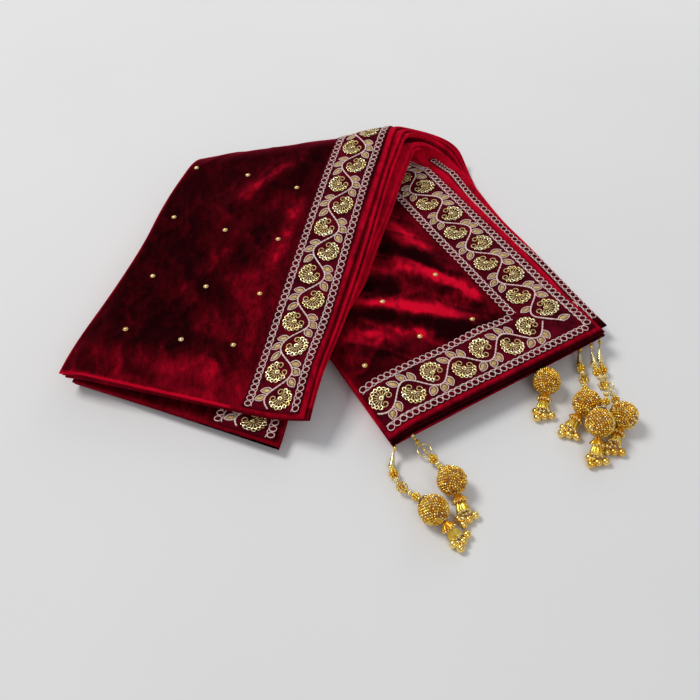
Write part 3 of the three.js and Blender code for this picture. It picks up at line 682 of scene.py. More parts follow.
def pile_sheen_shade_tone(name, a, b, near_face, far_face):
    """How bright the pile is painted, 0 to 1: painted sheen and shade on the sides of folds by their tilt,
    painted highlights and shade in streaks, painted sheen along the margins, painted highlights along the
    edges, and painted shade at the lower arm's end.
    """
    inside = edge_distance(LEAVES[name], a, b)
    if name not in ("inner", "outer"):
        return edge_tone(name, a, inside)
    face = 1 if name == "outer" else 0
    shown = (far_face if face else near_face).reshape(*a.shape, 3)
    flat = grid_normals(place(a, b, np.full_like(a, LEAVES[name]["depth"][face])))
    lean = grid_normals(shown) - flat
    # Painted sheen and shade: a fold is painted brighter or darker by how it tilts along a fixed way.
    tilt_sheen = (lean if flat[..., 2].mean() >= 0 else -lean) @ np.array(SHEEN_TILT_WAY[name])
    tone, strength = field_tone(name, a, b)
    field = smooth((b - BORDER_OUT - BORDER_WIDTH - 4) / 10)
    tone = tone + field * (strength * tilt_sheen + streak_tone(SHEEN_AND_PILE_STREAKS[name], a, b))
    # Painted sheen on the margins beside the border, and painted highlight on the rims.
    margin = 1 - smooth((b - BORDER_OUT + 6) / 4)
    rim = 1 - smooth((inside - 1.0) / 4.5)
    margin_sheen = MARGIN_SHEEN
    if name == "inner":
        margin = np.maximum(margin, 1 - smooth((a - END_FIT[0] - 1) / 3))
        # Painted shade on the lower arm's end edge.
        end_shade = 1 - 0.85 * smooth((-a - (RIGHT_LENGTH - 3.5)) / 3)
        margin, rim, tone = margin * end_shade, rim * end_shade, tone * end_shade
    else:
        margin_sheen = MARGIN_SHEEN + CREST_HIGHLIGHT["margin"] * smooth((220 - a) / 120)
    return np.clip(np.maximum(mix(tone, margin_sheen, margin), RIM_HIGHLIGHT * rim), 0.0, 1.0)


def drop_loose_points(bm):
    bmesh.ops.delete(bm, geom=[v for v in bm.verts if not v.link_faces], context="VERTS")


# Border strips: each has a way from its own u, v and height to the band

class Strip:
    def __init__(self, leaf, face, length, locate):
        self.leaf, self.face, self.length, self.locate = leaf, face, length, locate

    def carry(self, points):
        a, b = self.locate(points[:, 0], points[:, 1])
        depth = leaf_depth(self.leaf, a, b, self.face)
        outward = 1 if self.face else -1
        return place(a, b, depth + outward * points[:, 2])


def ribbon(name, strip, outline_start, outline_end, materials, v_range=(0.0, BORDER_WIDTH), step=4.0):
    """The ribbon of a strip. Its ends are functions of v, so that a corner can be mitred."""
    v = np.linspace(*v_range, max(int((v_range[1] - v_range[0]) / 3.5), 4))
    rows, columns = max(int(strip.length / step), 4), len(v)
    start, end = outline_start(v), outline_end(v)
    u = start[None, :] + (end - start)[None, :] * np.linspace(0, 1, rows)[:, None]
    vv = np.broadcast_to(v[None, :], u.shape)
    low, high = (np.stack([u, vv, np.full_like(u, lift)], -1).reshape(-1, 3)
                 for lift in (RIBBON_LIFT, RIBBON_TOP))
    total = rows * columns
    faces = [face[::-1] for face in grid_faces(rows, columns)] + grid_faces(rows, columns, start=total)
    loop = list(range(columns)) + [i * columns + columns - 1 for i in range(1, rows)]
    loop += [(rows - 1) * columns + j for j in range(columns - 2, -1, -1)]
    loop += [i * columns for i in range(rows - 2, 0, -1)]
    for first, second in zip(loop, loop[1:] + loop[:1]):
        faces.append((first, second, second + total, first + total))
    form = Form("ribbon")
    form.add(np.concatenate([low, high]), faces)
    return form.build(name, materials, carry=strip.carry)


def raised(points, high):
    """Flat points at a height, or a list of heights, above the ribbon."""
    high = np.broadcast_to(RIBBON_TOP + np.asarray(high, float), (len(points),))
    return np.concatenate([points, high[:, None]], 1)


def loop_row(form, start, end, v, side):
    """A row of loops of cord that touch, standing on a straight cord on their pattern side."""
    count = max(int(round((end - start) / LOOP_PITCH)), 1)
    angles = turns(14)
    for k in range(count):
        u = start + (k + 0.5) * (end - start) / count
        lift = RIBBON_TOP + 0.35 + 0.2 * np.cos(angles)
        ahead = (LOOP_RADIUS + 0.1) * np.cos(angles)
        ring = np.stack([u + ahead, v + LOOP_RADIUS * np.sin(angles), lift], -1)
        form.add(*tube(ring, LOOP_CORD, closed=True), "cord")
    path_u = np.arange(start, end + 0.01, LOOP_PITCH / 4)
    if len(path_u) > 1:
        sway = 0.35 * np.cos(2 * math.pi * (path_u - start) / LOOP_PITCH)
        base = v + side * (BASE_CORD - LOOP_ROW + sway)
        form.add(*tube(raised(np.stack([path_u, base], -1), 0.3), ROW_CORD), "cord")


def leaf_half(share):
    """A leaf's half width at a share of its length, as a share of its widest."""
    return np.sin(math.pi * share ** 0.85) ** 0.75


def leaf_outline(length, width):
    t = np.linspace(0, 1, 9)
    upper = np.stack([t * length, width / 2 * leaf_half(t)], -1)
    return np.concatenate([upper, upper[-2:0:-1] * [1, -1]])


def leaf_motif(form, u, v, angle, length, width):
    """A leaf: a cord outline round a fill of slanting gold stitches."""
    turn = np.array([[math.cos(angle), math.sin(angle)], [-math.sin(angle), math.cos(angle)]])
    outline = leaf_outline(length, width) @ turn + [u, v]
    form.add(*tube(raised(outline, 0.34), LEAF_CORD, closed=True), "cord")
    fill = (leaf_outline(length - 2.6, width - 2.2) + [1.3, 0]) @ turn + [u, v]
    middle = fill.mean(0)
    points = [raised(middle + (fill - middle) * scale, high) for scale, high in LEAF_FILL]
    faces = grid_faces(len(LEAF_FILL), len(fill), close_columns=True) + end_caps(len(LEAF_FILL), len(fill))
    form.add(np.concatenate(points), faces, "satin")
    for x in np.linspace(2.3, length - 2.0, 7):
        reach = 0.5 * (width - 2.3) * leaf_half(x / length)
        stitch = np.array([[x - 0.5, -reach], [x, 0], [x + 0.5, reach]]) @ turn + [u, v]
        form.add(*tube(raised(stitch, [0.4, 0.56, 0.4]), [0.24, 0.34, 0.24], 4), "stitch")


def curl(form, u, v, angle, side):
    """A spiral tendril of gold cord that leaves a flower's middle beside an angle."""
    stand = angle + side * 0.72
    away = np.array([math.cos(stand), math.sin(stand)])
    t = np.linspace(0, 1, 20)
    turn = stand + math.pi - side * (0.9 + 7.2 * t)
    reach = (CURL_RADIUS * (1.0 - 0.62 * t))[:, None]
    spiral = [u, v] + 6.4 * away + reach * np.stack([np.cos(turn), np.sin(turn)], -1)
    path = np.concatenate([[[u, v] + 1.2 * away], spiral])
    form.add(*tube(raised(path, 0.4), np.linspace(0.55, 0.42, len(path))), "stitch")


def sequin(form, u, v, tilt, radius=SEQUIN_RADIUS, bead=False):
    """A cupped sequin, open in its middle, where a stitched bead may hold it."""
    profile = [(SEQUIN_HOLE, 0.0), (radius, 0.34), (radius, 0.46), (SEQUIN_HOLE, 0.16)]
    points, _ = lathe(profile, SEQUIN_SIDES)
    lean = tilt * points[:, 0] * 0.14 + 0.1 * points[:, 1] * (1 - tilt)
    points[:, 2] += RIBBON_TOP + 0.5 + 0.3 * (tilt + 1) / 2 + lean
    faces = grid_faces(len(profile), SEQUIN_SIDES, close_rows=True, close_columns=True)
    form.add(points + [u, v, 0], faces, "sequin")
    if bead:
        points, faces = ball(0.8, 7, 5)
        form.add(points + [u, v, RIBBON_TOP + 0.95], faces, "stitch")


def flower(form, u, v, side, seed):
    """A fan of sequins on gold petals round a middle one, and two curls where the fan is open to the vine."""
    facing = side * FAN_LEAN
    u, v = u - 1.6 * math.cos(facing), v - 1.6 * math.sin(facing)
    for k in range(FAN_COUNT):
        angle = facing + mix(-FAN_SPREAD, FAN_SPREAD, k / (FAN_COUNT - 1))
        reach = FAN_RADIUS * (1 + 0.06 * math.cos(angle - facing))
        sequin(form, u + reach * math.cos(angle), v + reach * math.sin(angle), math.sin(2.7 * k + seed))
        path = [(u + r * math.cos(angle), v + r * math.sin(angle), RIBBON_TOP + lift) for r, lift in PETAL]
        form.add(*tube(path, [0.3, 0.5, 0.72], flat=0.7), "stitch")
    sequin(form, u, v, 0.3, MIDDLE_SEQUIN, bead=True)
    for turn in (-1, 1):
        curl(form, u, v, facing + math.pi, turn)


def vine_v(u, phase, side):
    return PATTERN_MIDDLE - side * VINE_SWING * np.cos(math.pi * (u - phase) / HALF_PERIOD)


def vine(form, start, end, phase, side, clear):
    """Two cords wound round each other along the vine."""
    u = np.arange(start, end, 1.3)
    v = vine_v(u, phase, side)
    keep = np.array([clear(x, y) for x, y in zip(u, v)], bool)
    u, v = u[keep], v[keep]
    if len(u) > 2:
        for turn in (0, math.pi):
            wound = np.stack([u, v + 0.44 * np.sin(u * 1.25 + turn)], -1)
            form.add(*tube(raised(wound, 0.5 + 0.25 * np.cos(u * 1.25 + turn)), VINE_CORD), "cord")


def sprig(form, u, v, side, lean, length, limits, clear):
    """A leaf that leaves the vine at u, v, shortened where it would reach the loops."""
    angle = -side * lean
    v -= side * 0.6
    tip_u, tip_v = u + length * math.cos(angle), v + length * math.sin(angle)
    room = v - LEAF_CLEAR if side > 0 else BORDER_WIDTH - LEAF_CLEAR - v
    length = length * min(1.0, room / max(side * (v - tip_v), 0.1))
    inside = limits[0] + 0.5 < min(u, tip_u) and max(u, tip_u) < limits[1] - 0.5
    if inside and clear(tip_u, tip_v) and clear(u, v):
        leaf_motif(form, u, v, angle, length, 6.9 if side > 0 else 6.0)


def pattern(form, start, end, phase, first_side, clear, seed=1.0):
    """The running pattern of a strip from start to end: rows of loops, vine, flowers and leaves.

    A flower of first_side stands at the phase, and the flowers change sides at each half period.
    """
    for v, side in ((LOOP_ROW, 1), (BORDER_WIDTH - LOOP_ROW, -1)):
        ends = [u for u in np.arange(start, end, 1.0) if clear(u, v)]
        if ends:
            loop_row(form, ends[0], ends[-1] + 1.0, v, side)
    vine(form, start, end, phase, first_side, clear)
    first = math.ceil((start - phase) / HALF_PERIOD)
    last = math.floor((end - phase) / HALF_PERIOD)
    for n in range(first - 1, last + 2):
        middle = phase + n * HALF_PERIOD
        side = first_side if n % 2 == 0 else -first_side
        centre_v = PATTERN_MIDDLE + side * FLOWER_OFFSET
        if start + 6 < middle < end - 6 and clear(middle - 6, centre_v):
            flower(form, middle, centre_v, side, seed + n)
        for du, lean, length in LEAF_SPRIGS:
            u = middle + du
            v = float(vine_v(u, phase, first_side))
            sprig(form, u, v, side, lean, length, (start, end), clear)


CORNER = RIGHT_LENGTH - BORDER_MARGIN
LEFT_START, LEFT_PATTERN, LEFT_FOLD_ROW = 58.0, 343.0, 20.0
LEFT_FLOWERS = [45, 70, 99, 127, 160, 189, 220, 249, 277, 302, 327, 351]
SIDE_START, END_LENGTH, LEFT_PHASE = 96.0, 216.0, 42.0
SIDE_LENGTH, BESIDE_LENGTH = CORNER + SIDE_START, RIGHT_LENGTH - 30.0
# The border's v carried onto the band: offset and scale, for the lower arm's side and end and for the upper
# arm's leaf below the top one
SIDE_FIT, END_FIT, UNDER_FIT = (-113.0, 1.18), (-323.0, 1.08), (-93.0, 1.14)


def left_arm_place(p, v):
    """The upper arm's pattern, from low on the back of the fold (p below 0) over the crest to the arm's end.

    Its flowers lie where the photograph has them.
    """
    keys = [-100, 0] + [LEFT_PHASE + HALF_PERIOD * n for n in range(len(LEFT_FLOWERS))] + [LEFT_PATTERN]
    u = np.interp(p, keys, [-100, 0] + LEFT_FLOWERS + [LEFT_LENGTH + 9.5 - LEFT_START])
    shift = np.interp(u, [0, 85, 130, 170, 255, 285, 330, 361], [-2, 0, -1, -2, -4.5, -4.5, -3, -3])
    return LEFT_START + u, BORDER_OUT + shift + 0.98 * v


def left_arm_start(v):
    """Where the upper arm's border begins, level along the back of the fold."""
    return LEFT_FOLD_ROW + (BORDER_OUT - 2 + 0.98 * v) * math.tan(SKEW) - LEFT_START


def side_place(u, v):
    return SIDE_START - u, SIDE_FIT[0] + SIDE_FIT[1] * v


def end_place(u, v):
    return END_FIT[0] + END_FIT[1] * v, BORDER_OUT + u


def side_mitre(v):
    """How far the side strip reaches before it meets the end strip."""
    return SIDE_LENGTH + 2.5 - 1.08 * v


def end_mitre(v):
    return SIDE_FIT[0] + SIDE_FIT[1] * v - BORDER_OUT


def level(u):
    """A straight end of a ribbon, at the same u for every v."""
    return lambda v: np.full_like(v, u)


def stretch(materials, label, strip, ends, fill, **settings):
    """A stretch of border: its ribbon between two ends and its embroidery, in place of the frame's border."""
    form = Form("cord", "satin", "sequin", "stitch")
    fill(form)
    both = (ribbon(f"{label}_ribbon", strip, *ends, materials, **settings),
            form.build(f"{label}_embroidery", materials, carry=strip.carry))
    for piece in both:
        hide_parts(f"border_{label}")
    return both


def beside_place(u, v):
    """The strip under the lower arm's side. Only its outer loops show, and all of it near the arm's end."""
    a = -RIGHT_LENGTH + 20 + u
    whole = 1 - smooth((u - 30) / 25)
    inner = np.maximum(v - 6.6, 0)
    inset = 1.8 + 3.4 * smooth((a + 230) / 60) + 5 * smooth((a + 150) / 60) + 3 * smooth((a + 70) / 60)
    return a, -HALF - along(LEAVES["third"]["reach"], a) + inset + v - inner * (1 - mix(0.1, 1.0, whole))


def beside_fill(form):
    loop_row(form, 2, BESIDE_LENGTH - 2, LOOP_ROW, 1)
    for u, angle in ((9, 0.5), (20, -0.3), (31, 0.4)):
        leaf_motif(form, u, 11.2, angle, 9.0, 4.8)


def under_place(u, v):
    """The strip on the leaf below the upper arm's end."""
    return LEFT_LENGTH + 1.0 + u, UNDER_FIT[0] + UNDER_FIT[1] * v


def under_end(v):
    return 26.5 - 0.13 * v


def make_borders(materials):
    """The stretches of border that show, by name, each with its ribbon and its embroidery."""
    first = float(left_arm_start(0))
    rows = {
        "left_arm": (Strip("outer", 1, LEFT_PATTERN - first, left_arm_place),
                     (left_arm_start, level(LEFT_PATTERN)),
                     lambda form: pattern(form, first, LEFT_PATTERN - 1, LEFT_PHASE, 1,
                                          lambda u, v: u > left_arm_start(v) + 1.5)),
        "right_side": (Strip("inner", 0, SIDE_LENGTH, side_place),
                       (level(0), lambda v: side_mitre(v) - 0.4),
                       lambda form: pattern(form, 1.0, SIDE_LENGTH, 350.8, 1,
                                            lambda u, v: u < side_mitre(v) - 2, seed=4.0)),
        "right_end": (Strip("inner", 0, END_LENGTH, end_place),
                      (lambda v: end_mitre(v) + 0.4, level(END_LENGTH)),
                      lambda form: pattern(form, 2.0, END_LENGTH - 0.5, 101.0, 1,
                                           lambda u, v: u > end_mitre(v) + 3.0, seed=8.0)),
        "left_under": (Strip("third", 1, 27.0, under_place), (level(0), under_end),
                       lambda form: pattern(form, 0.5, 26.0, 13.0, -1,
                                            lambda u, v: u < under_end(v) - 1.5, seed=2.0)),
        "right_under": (Strip("third", 0, BESIDE_LENGTH, beside_place), (level(0), level(BESIDE_LENGTH)),
                        beside_fill),
    }
    settings = {"left_arm": {"v_range": (-1.0, 52.0)}, "right_end": {"step": 3.0},
                "right_under": {"v_range": (0, 14.5)}}
    return {label: stretch(materials, label, *row, **settings.get(label, {})) for label, row in rows.items()}


# Studs over the field

# Where they are set: along and across the band
STUDS = {
    "outer": [(156, 77), (158, 19), (167, -37), (226, 76), (238, 16), (239, -39), (300, 70), (303, 14),
              (307, -42), (366, 70), (365, 16), (359, -32)],
    "inner": [(-195, 38), (-248, 30), (-257, -22), (-252, 91), (-192, -24), (-140, 90), (-138, 34)],
}
# Outlines of a stud's rim and dome: radius and height
STUD_RIM = [(2.0, -0.3), (2.45, 0.1), (2.4, 0.5), (1.9, 0.7)]
STUD_DOME = [(1.9, 0.4), (1.75, 0.95), (1.3, 1.4), (0.7, 1.7), (0.1, 1.8)]


def make_studs(materials):
    """Domed gilt studs, each in a toothed rim."""
    form = Form("stud", "stitch")
    for name, spots in STUDS.items():
        face = 1 if name == "outer" else 0
        for a, b in spots:
            depth = float(leaf_depth(name, a, b, face))
            base = place(a, b, depth)
            axis = place(a, b, depth + (1 if face else -1)) - base
            form.put(lathe(STUD_RIM, 16, 8, 0.06), axis, base, "stitch")
            form.put(lathe(STUD_DOME, 14), axis, base, "stud")
    return form.build("studs", materials)


# Tassels

def curve_points(knots, steps=24):
    """A centripetal Catmull-Rom curve through knots."""
    knots = [np.asarray(k, float) for k in knots]
    knots = [2 * knots[0] - knots[1]] + knots + [2 * knots[-1] - knots[-2]]
    points = []
    for k in range(1, len(knots) - 2):
        p = knots[k - 1:k + 3]
        t = [0.0]
        for i in range(3):
            t.append(t[-1] + max(np.linalg.norm(p[i + 1] - p[i]), 1e-6) ** 0.5)
        for x in np.linspace(t[1], t[2], steps, endpoint=False):
            a = [((t[i + 1] - x) * p[i] + (x - t[i]) * p[i + 1]) / (t[i + 1] - t[i]) for i in range(3)]
            b = [((t[i + 2] - x) * a[i] + (x - t[i]) * a[i + 1]) / (t[i + 2] - t[i]) for i in range(2)]
            points.append(((t[2] - x) * b[0] + (x - t[1]) * b[1]) / (t[2] - t[1]))
    points.append(knots[-2])
    return np.array(points)


def path_lengths(path):
    return np.concatenate([[0], np.cumsum(np.linalg.norm(np.diff(path, axis=0), axis=1))])


def at_distance(path, want):
    return np.stack([np.interp(want, path_lengths(path), path[:, k]) for k in range(3)], -1)


def at_share(path, share):
    """The point at a share of a path's length, and the path's direction there."""
    want = share * path_lengths(path)[-1]
    return at_distance(path, want), at_distance(path, want + 0.5) - at_distance(path, want - 0.5)


def twisted_thread(form, path, radius, finish):
    """Two strands wound round each other."""
    length = path_lengths(path)[-1]
    fine = np.linspace(0, length, max(int(length / 0.9), 4))
    centre = at_distance(path, fine)
    ahead = unit(np.gradient(centre, axis=0))
    side = unit(np.cross(ahead, [0.13, 0.2, 0.97]))
    up = np.cross(side, ahead)
    for start in (0, math.pi):
        turn = (fine * 1.9 + start)[:, None]
        wound = centre + 0.5 * radius * (np.cos(turn) * side + np.sin(turn) * up)
        form.add(*tube(wound, 0.55 * radius), finish)


def bead_circle(form, bead, count, out, high, axis, spot, finish, start=0.0):
    """Beads spaced evenly round an axis, at a height along it."""
    for k in range(count):
        turn = 2 * math.pi * (k + start) / count
        form.put(bead, axis, spot, finish, (out * math.cos(turn), out * math.sin(turn), high))


def collars(form, spot, axis, half, thick, wide, finish):
    """A collar at each end of a bead."""
    profile = [(0.6, -thick), (1.7, -thick), (wide, 0), (1.7, thick), (0.6, thick)]
    for end in (-1, 1):
        form.put(lathe(profile, 12), axis, spot, finish, (0, 0, end * half))


def cone_bead(form, spot, axis, length, radius, finish):
    """A fluted cone, narrow at the thread, with a rolled rim."""
    half = length / 2
    profile = [(0.5, -half), (1.15, -half), (1.25, -half + 0.6), (1.05, -half + 1.2)]
    profile += [(mix(1.15, radius, s ** 1.3), mix(-half + 1.6, half - 1.4, s)) for s in np.linspace(0, 1, 6)]
    profile += [(radius + 0.45, half - 1.0), (radius + 0.45, half - 0.3)]
    profile += [(radius * 0.7, half), (0.5, half - 0.2)]
    form.put(lathe(profile, 20, 10, 0.05), axis, spot, finish)


def cage_bead(form, spot, axis, length, radius, finish):
    """An openwork bead: hoops along the strand round a small inner bead."""
    half = length / 2
    t = np.linspace(0, math.pi, 9)
    out = radius * np.sin(t)
    for turn in turns(6):
        hoop = np.stack([out * math.cos(turn), out * math.sin(turn), -half * np.cos(t)], -1)
        form.put(tube(hoop, 0.55), axis, spot, finish)
    ball_bead(form, spot, axis, 0, radius * 0.52, "old_gold")
    collars(form, spot, axis, half, 0.7, 2.0, finish)


def spacer(form, spot, axis, length, radius, finish):
    """A ring of small beads round the thread."""
    bead_circle(form, ball(radius * 0.5, 6, 4), 7, radius * 0.62, 0, axis, spot, finish)
    half, wide = length / 2, radius * 0.6
    form.put(lathe([(0.4, -half), (wide, -half), (wide, half), (0.4, half)], 10), axis, spot, finish)


def cluster_bead(form, spot, axis, length, radius, finish):
    """An ornate bead: a small core covered with beads in three rows, between two collars."""
    half = length / 2
    core, faces = ball(radius * 0.72, 10, 7)
    form.put((core * [1, 1, half / radius], faces), axis, spot, "old_gold")
    seed = ball(radius * 0.30, 7, 5)
    for high, wide, count, start in ((-0.55, 0.66, 6, 0), (0.0, 0.86, 8, 0.5), (0.55, 0.66, 6, 0)):
        bead_circle(form, seed, count, radius * wide, high * half, axis, spot, finish, start)
    collars(form, spot, axis, half, 0.5, 1.9, finish)


def ring_bead(form, spot, axis, length, radius, finish):
    """A flat ring that lies in line with the strand, with a small bead in its middle."""
    ahead = unit(axis)
    side = unit(np.cross([0.0, 0.0, 1.0], ahead))
    turn = turns(28)[:, None]
    hoop = spot + radius * (np.cos(turn) * ahead + np.sin(turn) * side)
    form.add(*tube(hoop, 0.72, 7, closed=True), finish)
    ball_bead(form, spot, axis, 0, radius * 0.28, "pale_gold")
    for end in (-1, 1):
        ball_bead(form, spot + end * ahead * (radius + 1.0), axis, 0, 1.25, finish)


def ball_bead(form, spot, axis, length, radius, finish):
    form.put(ball(radius, 9, 6), axis, spot, finish)


# The beads of a strand: share of its length, kind, length, radius and finish
LONG_STRAND = [(0.06, ball_bead, 3.2, 1.7, "gold"), (0.22, cone_bead, 14, 3.1, "pale_gold"),
               (0.345, spacer, 2.6, 2.3, "gold"), (0.42, cluster_bead, 7.4, 3.9, "gold"),
               (0.52, spacer, 3.0, 2.4, "pale_gold"), (0.66, cage_bead, 9.0, 4.6, "gold"),
               (0.80, spacer, 3.0, 2.4, "pale_gold"), (0.90, cluster_bead, 6.2, 3.6, "gold")]
RINGED_STRAND = [(share, ring_bead, 0, 4.4, "pale_gold") if make is cage_bead else (share, make, *rest)
                 for share, make, *rest in LONG_STRAND]
SHORT_STRAND = [(0.4, spacer, 2.4, 1.9, "gold")]
RING_STRAND = [(0.05, ball_bead, 3.2, 1.6, "pale_gold"), (0.14, ball_bead, 3.2, 1.3, "gold"),
               (0.22, spacer, 3.2, 2.3, "gold"), (0.42, ring_bead, 0, 6.0, "pale_gold"),
               (0.66, cluster_bead, 7.4, 3.9, "gold"), (0.80, spacer, 3.0, 2.4, "pale_gold"),
               (0.90, spacer, 4.0, 2.8, "gold")]


def strand(name, knots, materials, beads):
    form = Form("gold", "old_gold", "gold_thread", "pale_gold")
    path = curve_points(knots)
    twisted_thread(form, path, THREAD_RADIUS, "gold_thread")
    for share, make, length, radius, finish in beads:
        make(form, *at_share(path, share), length, radius, finish)
    return form.build(name, materials)


# The cap of a ball: outlines of the cloth and of the neck, and a prong's radius, height and thickness
CAP_CLOTH = [(6.9, 10.2), (5.9, 11.6), (4.2, 13.0), (2.6, 14.3), (1.5, 15.2), (0.8, 15.3)]
CAP_NECK = [(0.7, 14.6), (1.7, 14.6), (2.0, 15.3), (1.5, 16.2), (1.9, 16.9), (0.7, 17.0)]
CAP_PRONG = ((1.8, 15.0, 0.8), (3.4, 14.0, 1.2), (5.3, 12.6, 1.3), (6.9, 11.2, 1.0), (8.3, 9.8, 0.5))
BALL_BEADS, BALL_BARE, BALL_GAPS = 400, 0.86, 0.04
BALL_MIX = ["gold", "gold", "gold", "old_gold", "old_gold", "pale_gold"]


def ball_cap(form, centre, toward):
    """Where the strand goes in: the cloth is drawn up to a point and held by gold prongs and a small neck."""
    form.put(lathe(CAP_CLOTH, 20, 10, 0.04), toward, centre, "ball_cloth")
    form.put(lathe(CAP_NECK, 12), toward, centre, "pale_gold")
    for turn in turns(4) + 0.5:
        prong = [(r * math.cos(turn), r * math.sin(turn), high) for r, high, _ in CAP_PRONG]
        form.put(tube(prong, [thick for *_, thick in CAP_PRONG], 6, flat=0.6), toward, centre, "pale_gold")


def beaded_ball(name, centre, toward, materials, seed):
    """A cloth ball covered with seed beads of several golds, bare where its strand goes in."""
    rng = np.random.RandomState(seed)
    form = Form("ball_thread", "gold", "old_gold", "pale_gold", "ball_cloth")
    core = BALL_RADIUS - 1.3
    form.put(ball(core, 28, 18), -toward, centre, "ball_thread")
    golden = math.pi * (3 - math.sqrt(5))
    for k in range(BALL_BEADS):
        height = 1 - 2 * (k + 0.5) / BALL_BEADS
        round_r = math.sqrt(1 - height * height)
        on_ball = np.array([[round_r * math.cos(golden * k), round_r * math.sin(golden * k), height]])
        normal = turned_to(on_ball, toward, (0, 0, 0))[0]
        if height > BALL_BARE or rng.rand() < BALL_GAPS:
            continue
        size = 1.06 * (0.66 + 0.66 * rng.rand())
        spot = centre + normal * (core + 0.1 * size) + 0.3 * (rng.rand(3) - 0.5)
        form.put(ball(size, 6, 4), normal, spot, rng.choice(BALL_MIX))
    ball_cap(form, centre, toward)
    return form.build(name, materials)


# The ruffled bell's outline, radius and height along it, in two tiers
BELL_TIERS = [
    [(0.8, -0.2), (2.3, 0.0), (2.5, 0.8), (3.2, 1.8), (4.6, 3.4), (5.9, 5.2), (6.2, 6.4), (5.6, 6.6),
     (4.2, 5.6), (1.0, 4.4)],
    [(1.0, 3.8), (2.9, 4.6), (3.3, 6.6), (4.1, 9.0), (4.9, 11.6), (5.3, 13.6), (5.4, 14.6), (4.7, 14.7),
     (3.9, 13.0), (1.0, 10.6)],
]


def bell_cup(form, axis, start):
    """The two ruffled tiers, each with small beads along its rim."""
    for tier, (profile, finish) in enumerate(zip(BELL_TIERS, ("old_gold", "gold"))):
        form.put(lathe(profile, 36, 9, 0.15), axis, start, finish)
        rim_radius, rim_height = profile[6]
        out = rim_radius - 0.6
        bead_circle(form, ball(0.95, 6, 4), 14, out, rim_height, axis, start, "pale_gold", 0.5 * tier)


def bell_pearl(form, inside, spot, rng):
    """A pearl that lies on the surface, with two small beads on its thread."""
    points, faces = ball(PEARL_RADIUS, 16, 10)
    form.add(points + spot, faces, "pearl_gold")
    back = unit(inside - spot)
    for step, size in ((PEARL_RADIUS + 1.5, 1.75), (PEARL_RADIUS + 4.4, 1.35)):
        points, faces = ball(size, 10, 7)
        form.add(points + spot + back * step + 0.5 * (rng.rand(3) - 0.5), faces, "pale_gold")
    form.add(*tube(np.array([inside, mix(inside, spot, 0.5), spot]), 0.35), "gold_thread")


def bell(name, ball_at, bell_end, materials, seed):
    """The ruffled bell under the ball, with small beads and pearls that fan out from its mouth."""
    rng = np.random.RandomState(seed)
    form = Form("old_gold", "gold", "pearl_gold", "pale_gold", "gold_thread")
    flat = (bell_end - ball_at) * [1, 1, 0]
    slope = (bell_end[2] - ball_at[2]) / np.linalg.norm(flat)
    flat = unit(flat)
    start = ball_at + unit(flat + [0, 0, BELL_DROOP * slope]) * (BALL_RADIUS + 0.1)
    axis = unit(bell_end - start)
    bell_cup(form, axis, start)
    for k, turn in enumerate(np.linspace(-PEARL_FAN, PEARL_FAN, PEARL_COUNT)):
        way = np.array([flat[0] * math.cos(turn) - flat[1] * math.sin(turn),
                        flat[0] * math.sin(turn) + flat[1] * math.cos(turn), 0])
        spot = start + axis * BELL_LENGTH + way * (PEARL_SPREAD + (k % 2) * PEARL_STAGGER)
        spot[2] = PEARL_RADIUS + 0.1
        bell_pearl(form, start + axis * BELL_LENGTH * 0.7, spot, rng)
    return form.build(name, materials)


def local(point):
    return np.array([*point], float) - [*CENTRE, 0]


def make_tassels(materials):
    beads = {2: RING_STRAND, 3: SHORT_STRAND, 6: RINGED_STRAND}
    for number, tassel in enumerate(TASSELS, 1):
        leaf = LEAVES[tassel["leaf"]]
        b = tassel["root_b"]
        end = RIGHT_LENGTH + mix(*leaf["right_end"], (HALF - b) / BAND_WIDTH)
        root = place(-end + 0.8, b, sum(leaf["depth"]) / 2)
        bends = [local(p) for p in tassel["bends"]]
        ball_at = local(tassel["ball"])
        bell_end = local((*tassel["bell"], BELL_MOUTH + 0.3))
        toward = unit(bends[1] - ball_at)
        knots = [root, *bends, ball_at + toward * (BALL_RADIUS + 0.1)]
        label = f"latkan_{number}"
        pieces = {
            "strand": strand(f"{label}_thread_beads", knots, materials, beads.get(number, LONG_STRAND)),
            "ball": beaded_ball(f"{label}_beaded_ball", ball_at, toward, materials, 40 + number),
            "bell": bell(f"{label}_bell_pearls", ball_at, bell_end, materials, 60 + number)}
        for node, piece in pieces.items():
            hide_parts(f"{label}_{node}")


# The studio, in metres

FLOOR_SIDE, FLOOR_HEIGHT = 12.0, -0.0004
PAPER_SHADES = [(0.3, (0.765, 0.762, 0.758)), (0.7, (0.785, 0.782, 0.778))]
# Lights: name, place, target, power, size and colour
LIGHTS = [("key", (-1.8, 0.9, 3.0), (0, 0, 0), 68, 1.2, (1, 0.99, 0.97)),
          ("fill", (1.0, -2.4, 2.6), (0, 0, 0), 18, 2.0), ("rim", (0.7, 1.2, 0.7), (0, 0, 0.03), 2.8, 0.7)]


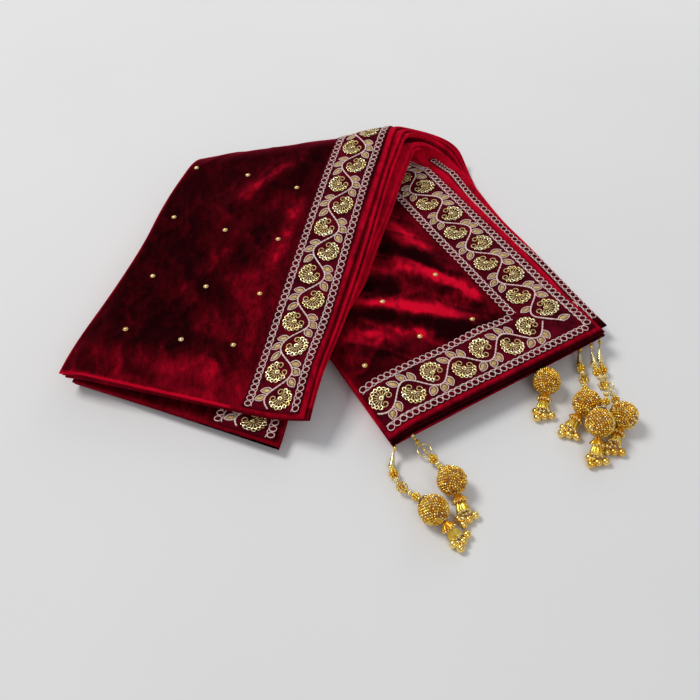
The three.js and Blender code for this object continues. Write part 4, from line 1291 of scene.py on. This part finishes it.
def make_stage():
    mesh = bpy.data.meshes.new("floor")
    side = FLOOR_SIDE / 2
    corners = [(-side, -side, 0), (side, -side, 0), (side, side, 0), (-side, side, 0)]
    mesh.from_pydata(corners, [], [(0, 1, 2, 3)])
    floor = add_object("floor", mesh)
    floor.location.z = FLOOR_HEIGHT
    material, tree, shader = new_material("floor_paper")
    fill_inputs(tree, shader, {"Base Color": ramp(tree, place_noise(tree, 3.0, 2.0), PAPER_SHADES),
                               "Roughness": 0.9, "Specular IOR Level": 0.1})
    mesh.materials.append(material)


def add_light(name, location, target, energy, size, colour=(1, 1, 1)):
    data = bpy.data.lights.new(name, "AREA")
    data.energy, data.size, data.color = energy, size, colour
    lamp = add_object(name, data)
    lamp.location = location
    direction = Vector(target) - Vector(location)
    lamp.rotation_euler = direction.to_track_quat("-Z", "Y").to_euler()


def make_light():
    bpy.context.scene.view_settings.view_transform = "Standard"
    world = bpy.data.worlds.new("studio")
    world.use_nodes = True
    fill_inputs(world.node_tree, world.node_tree.nodes["Background"],
                {"Color": (0.93, 0.95, 1.0, 1), "Strength": 0.38})
    bpy.context.scene.world = world
    for name, *settings in LIGHTS:
        add_light(name, *settings)


def make_camera():
    data = bpy.data.cameras.new("camera")
    data.sensor_width = SENSOR
    data.lens = SENSOR * CAMERA_FOCAL_PX / IMAGE_SIDE
    data.clip_start, data.clip_end = 0.05, 20
    camera = add_object("camera", data)
    tilt = CAMERA_HEIGHT_ANGLE
    camera.location = ((-CENTRE[0]) * MM, (-CAMERA_DISTANCE * math.cos(tilt) - CENTRE[1]) * MM,
                       CAMERA_DISTANCE * math.sin(tilt) * MM)
    facing = Matrix.Rotation(math.pi / 2 - tilt, 3, "X") @ Matrix.Rotation(-CAMERA_ROLL, 3, "Z")
    camera.rotation_euler = facing.to_euler()
    bpy.context.scene.camera = camera


def make_velvet(materials):
    """The two leaves whose faces show, and the edges of the four between them."""
    leaves = [velvet_leaf("inner", "velvet_lower_face", FACE_STEP, materials, "velvet_inner_leaf"),
              velvet_leaf("outer", "velvet_upper_face", FACE_STEP, materials, "velvet_outer_leaf")]
    for name in ("second", "third", "fourth", "fifth"):
        leaves.append(velvet_leaf(name, f"velvet_{name}_leaf", EDGE_STEP, materials, "velvet_core",
                                  HIDDEN_FROM))
    return leaves


def main():
    materials = make_materials()
    make_camera()
    make_light()
    make_stage()
    leaves = make_velvet(materials)
    borders = make_borders(materials)
    make_studs(materials)
    make_tassels(materials)


main()
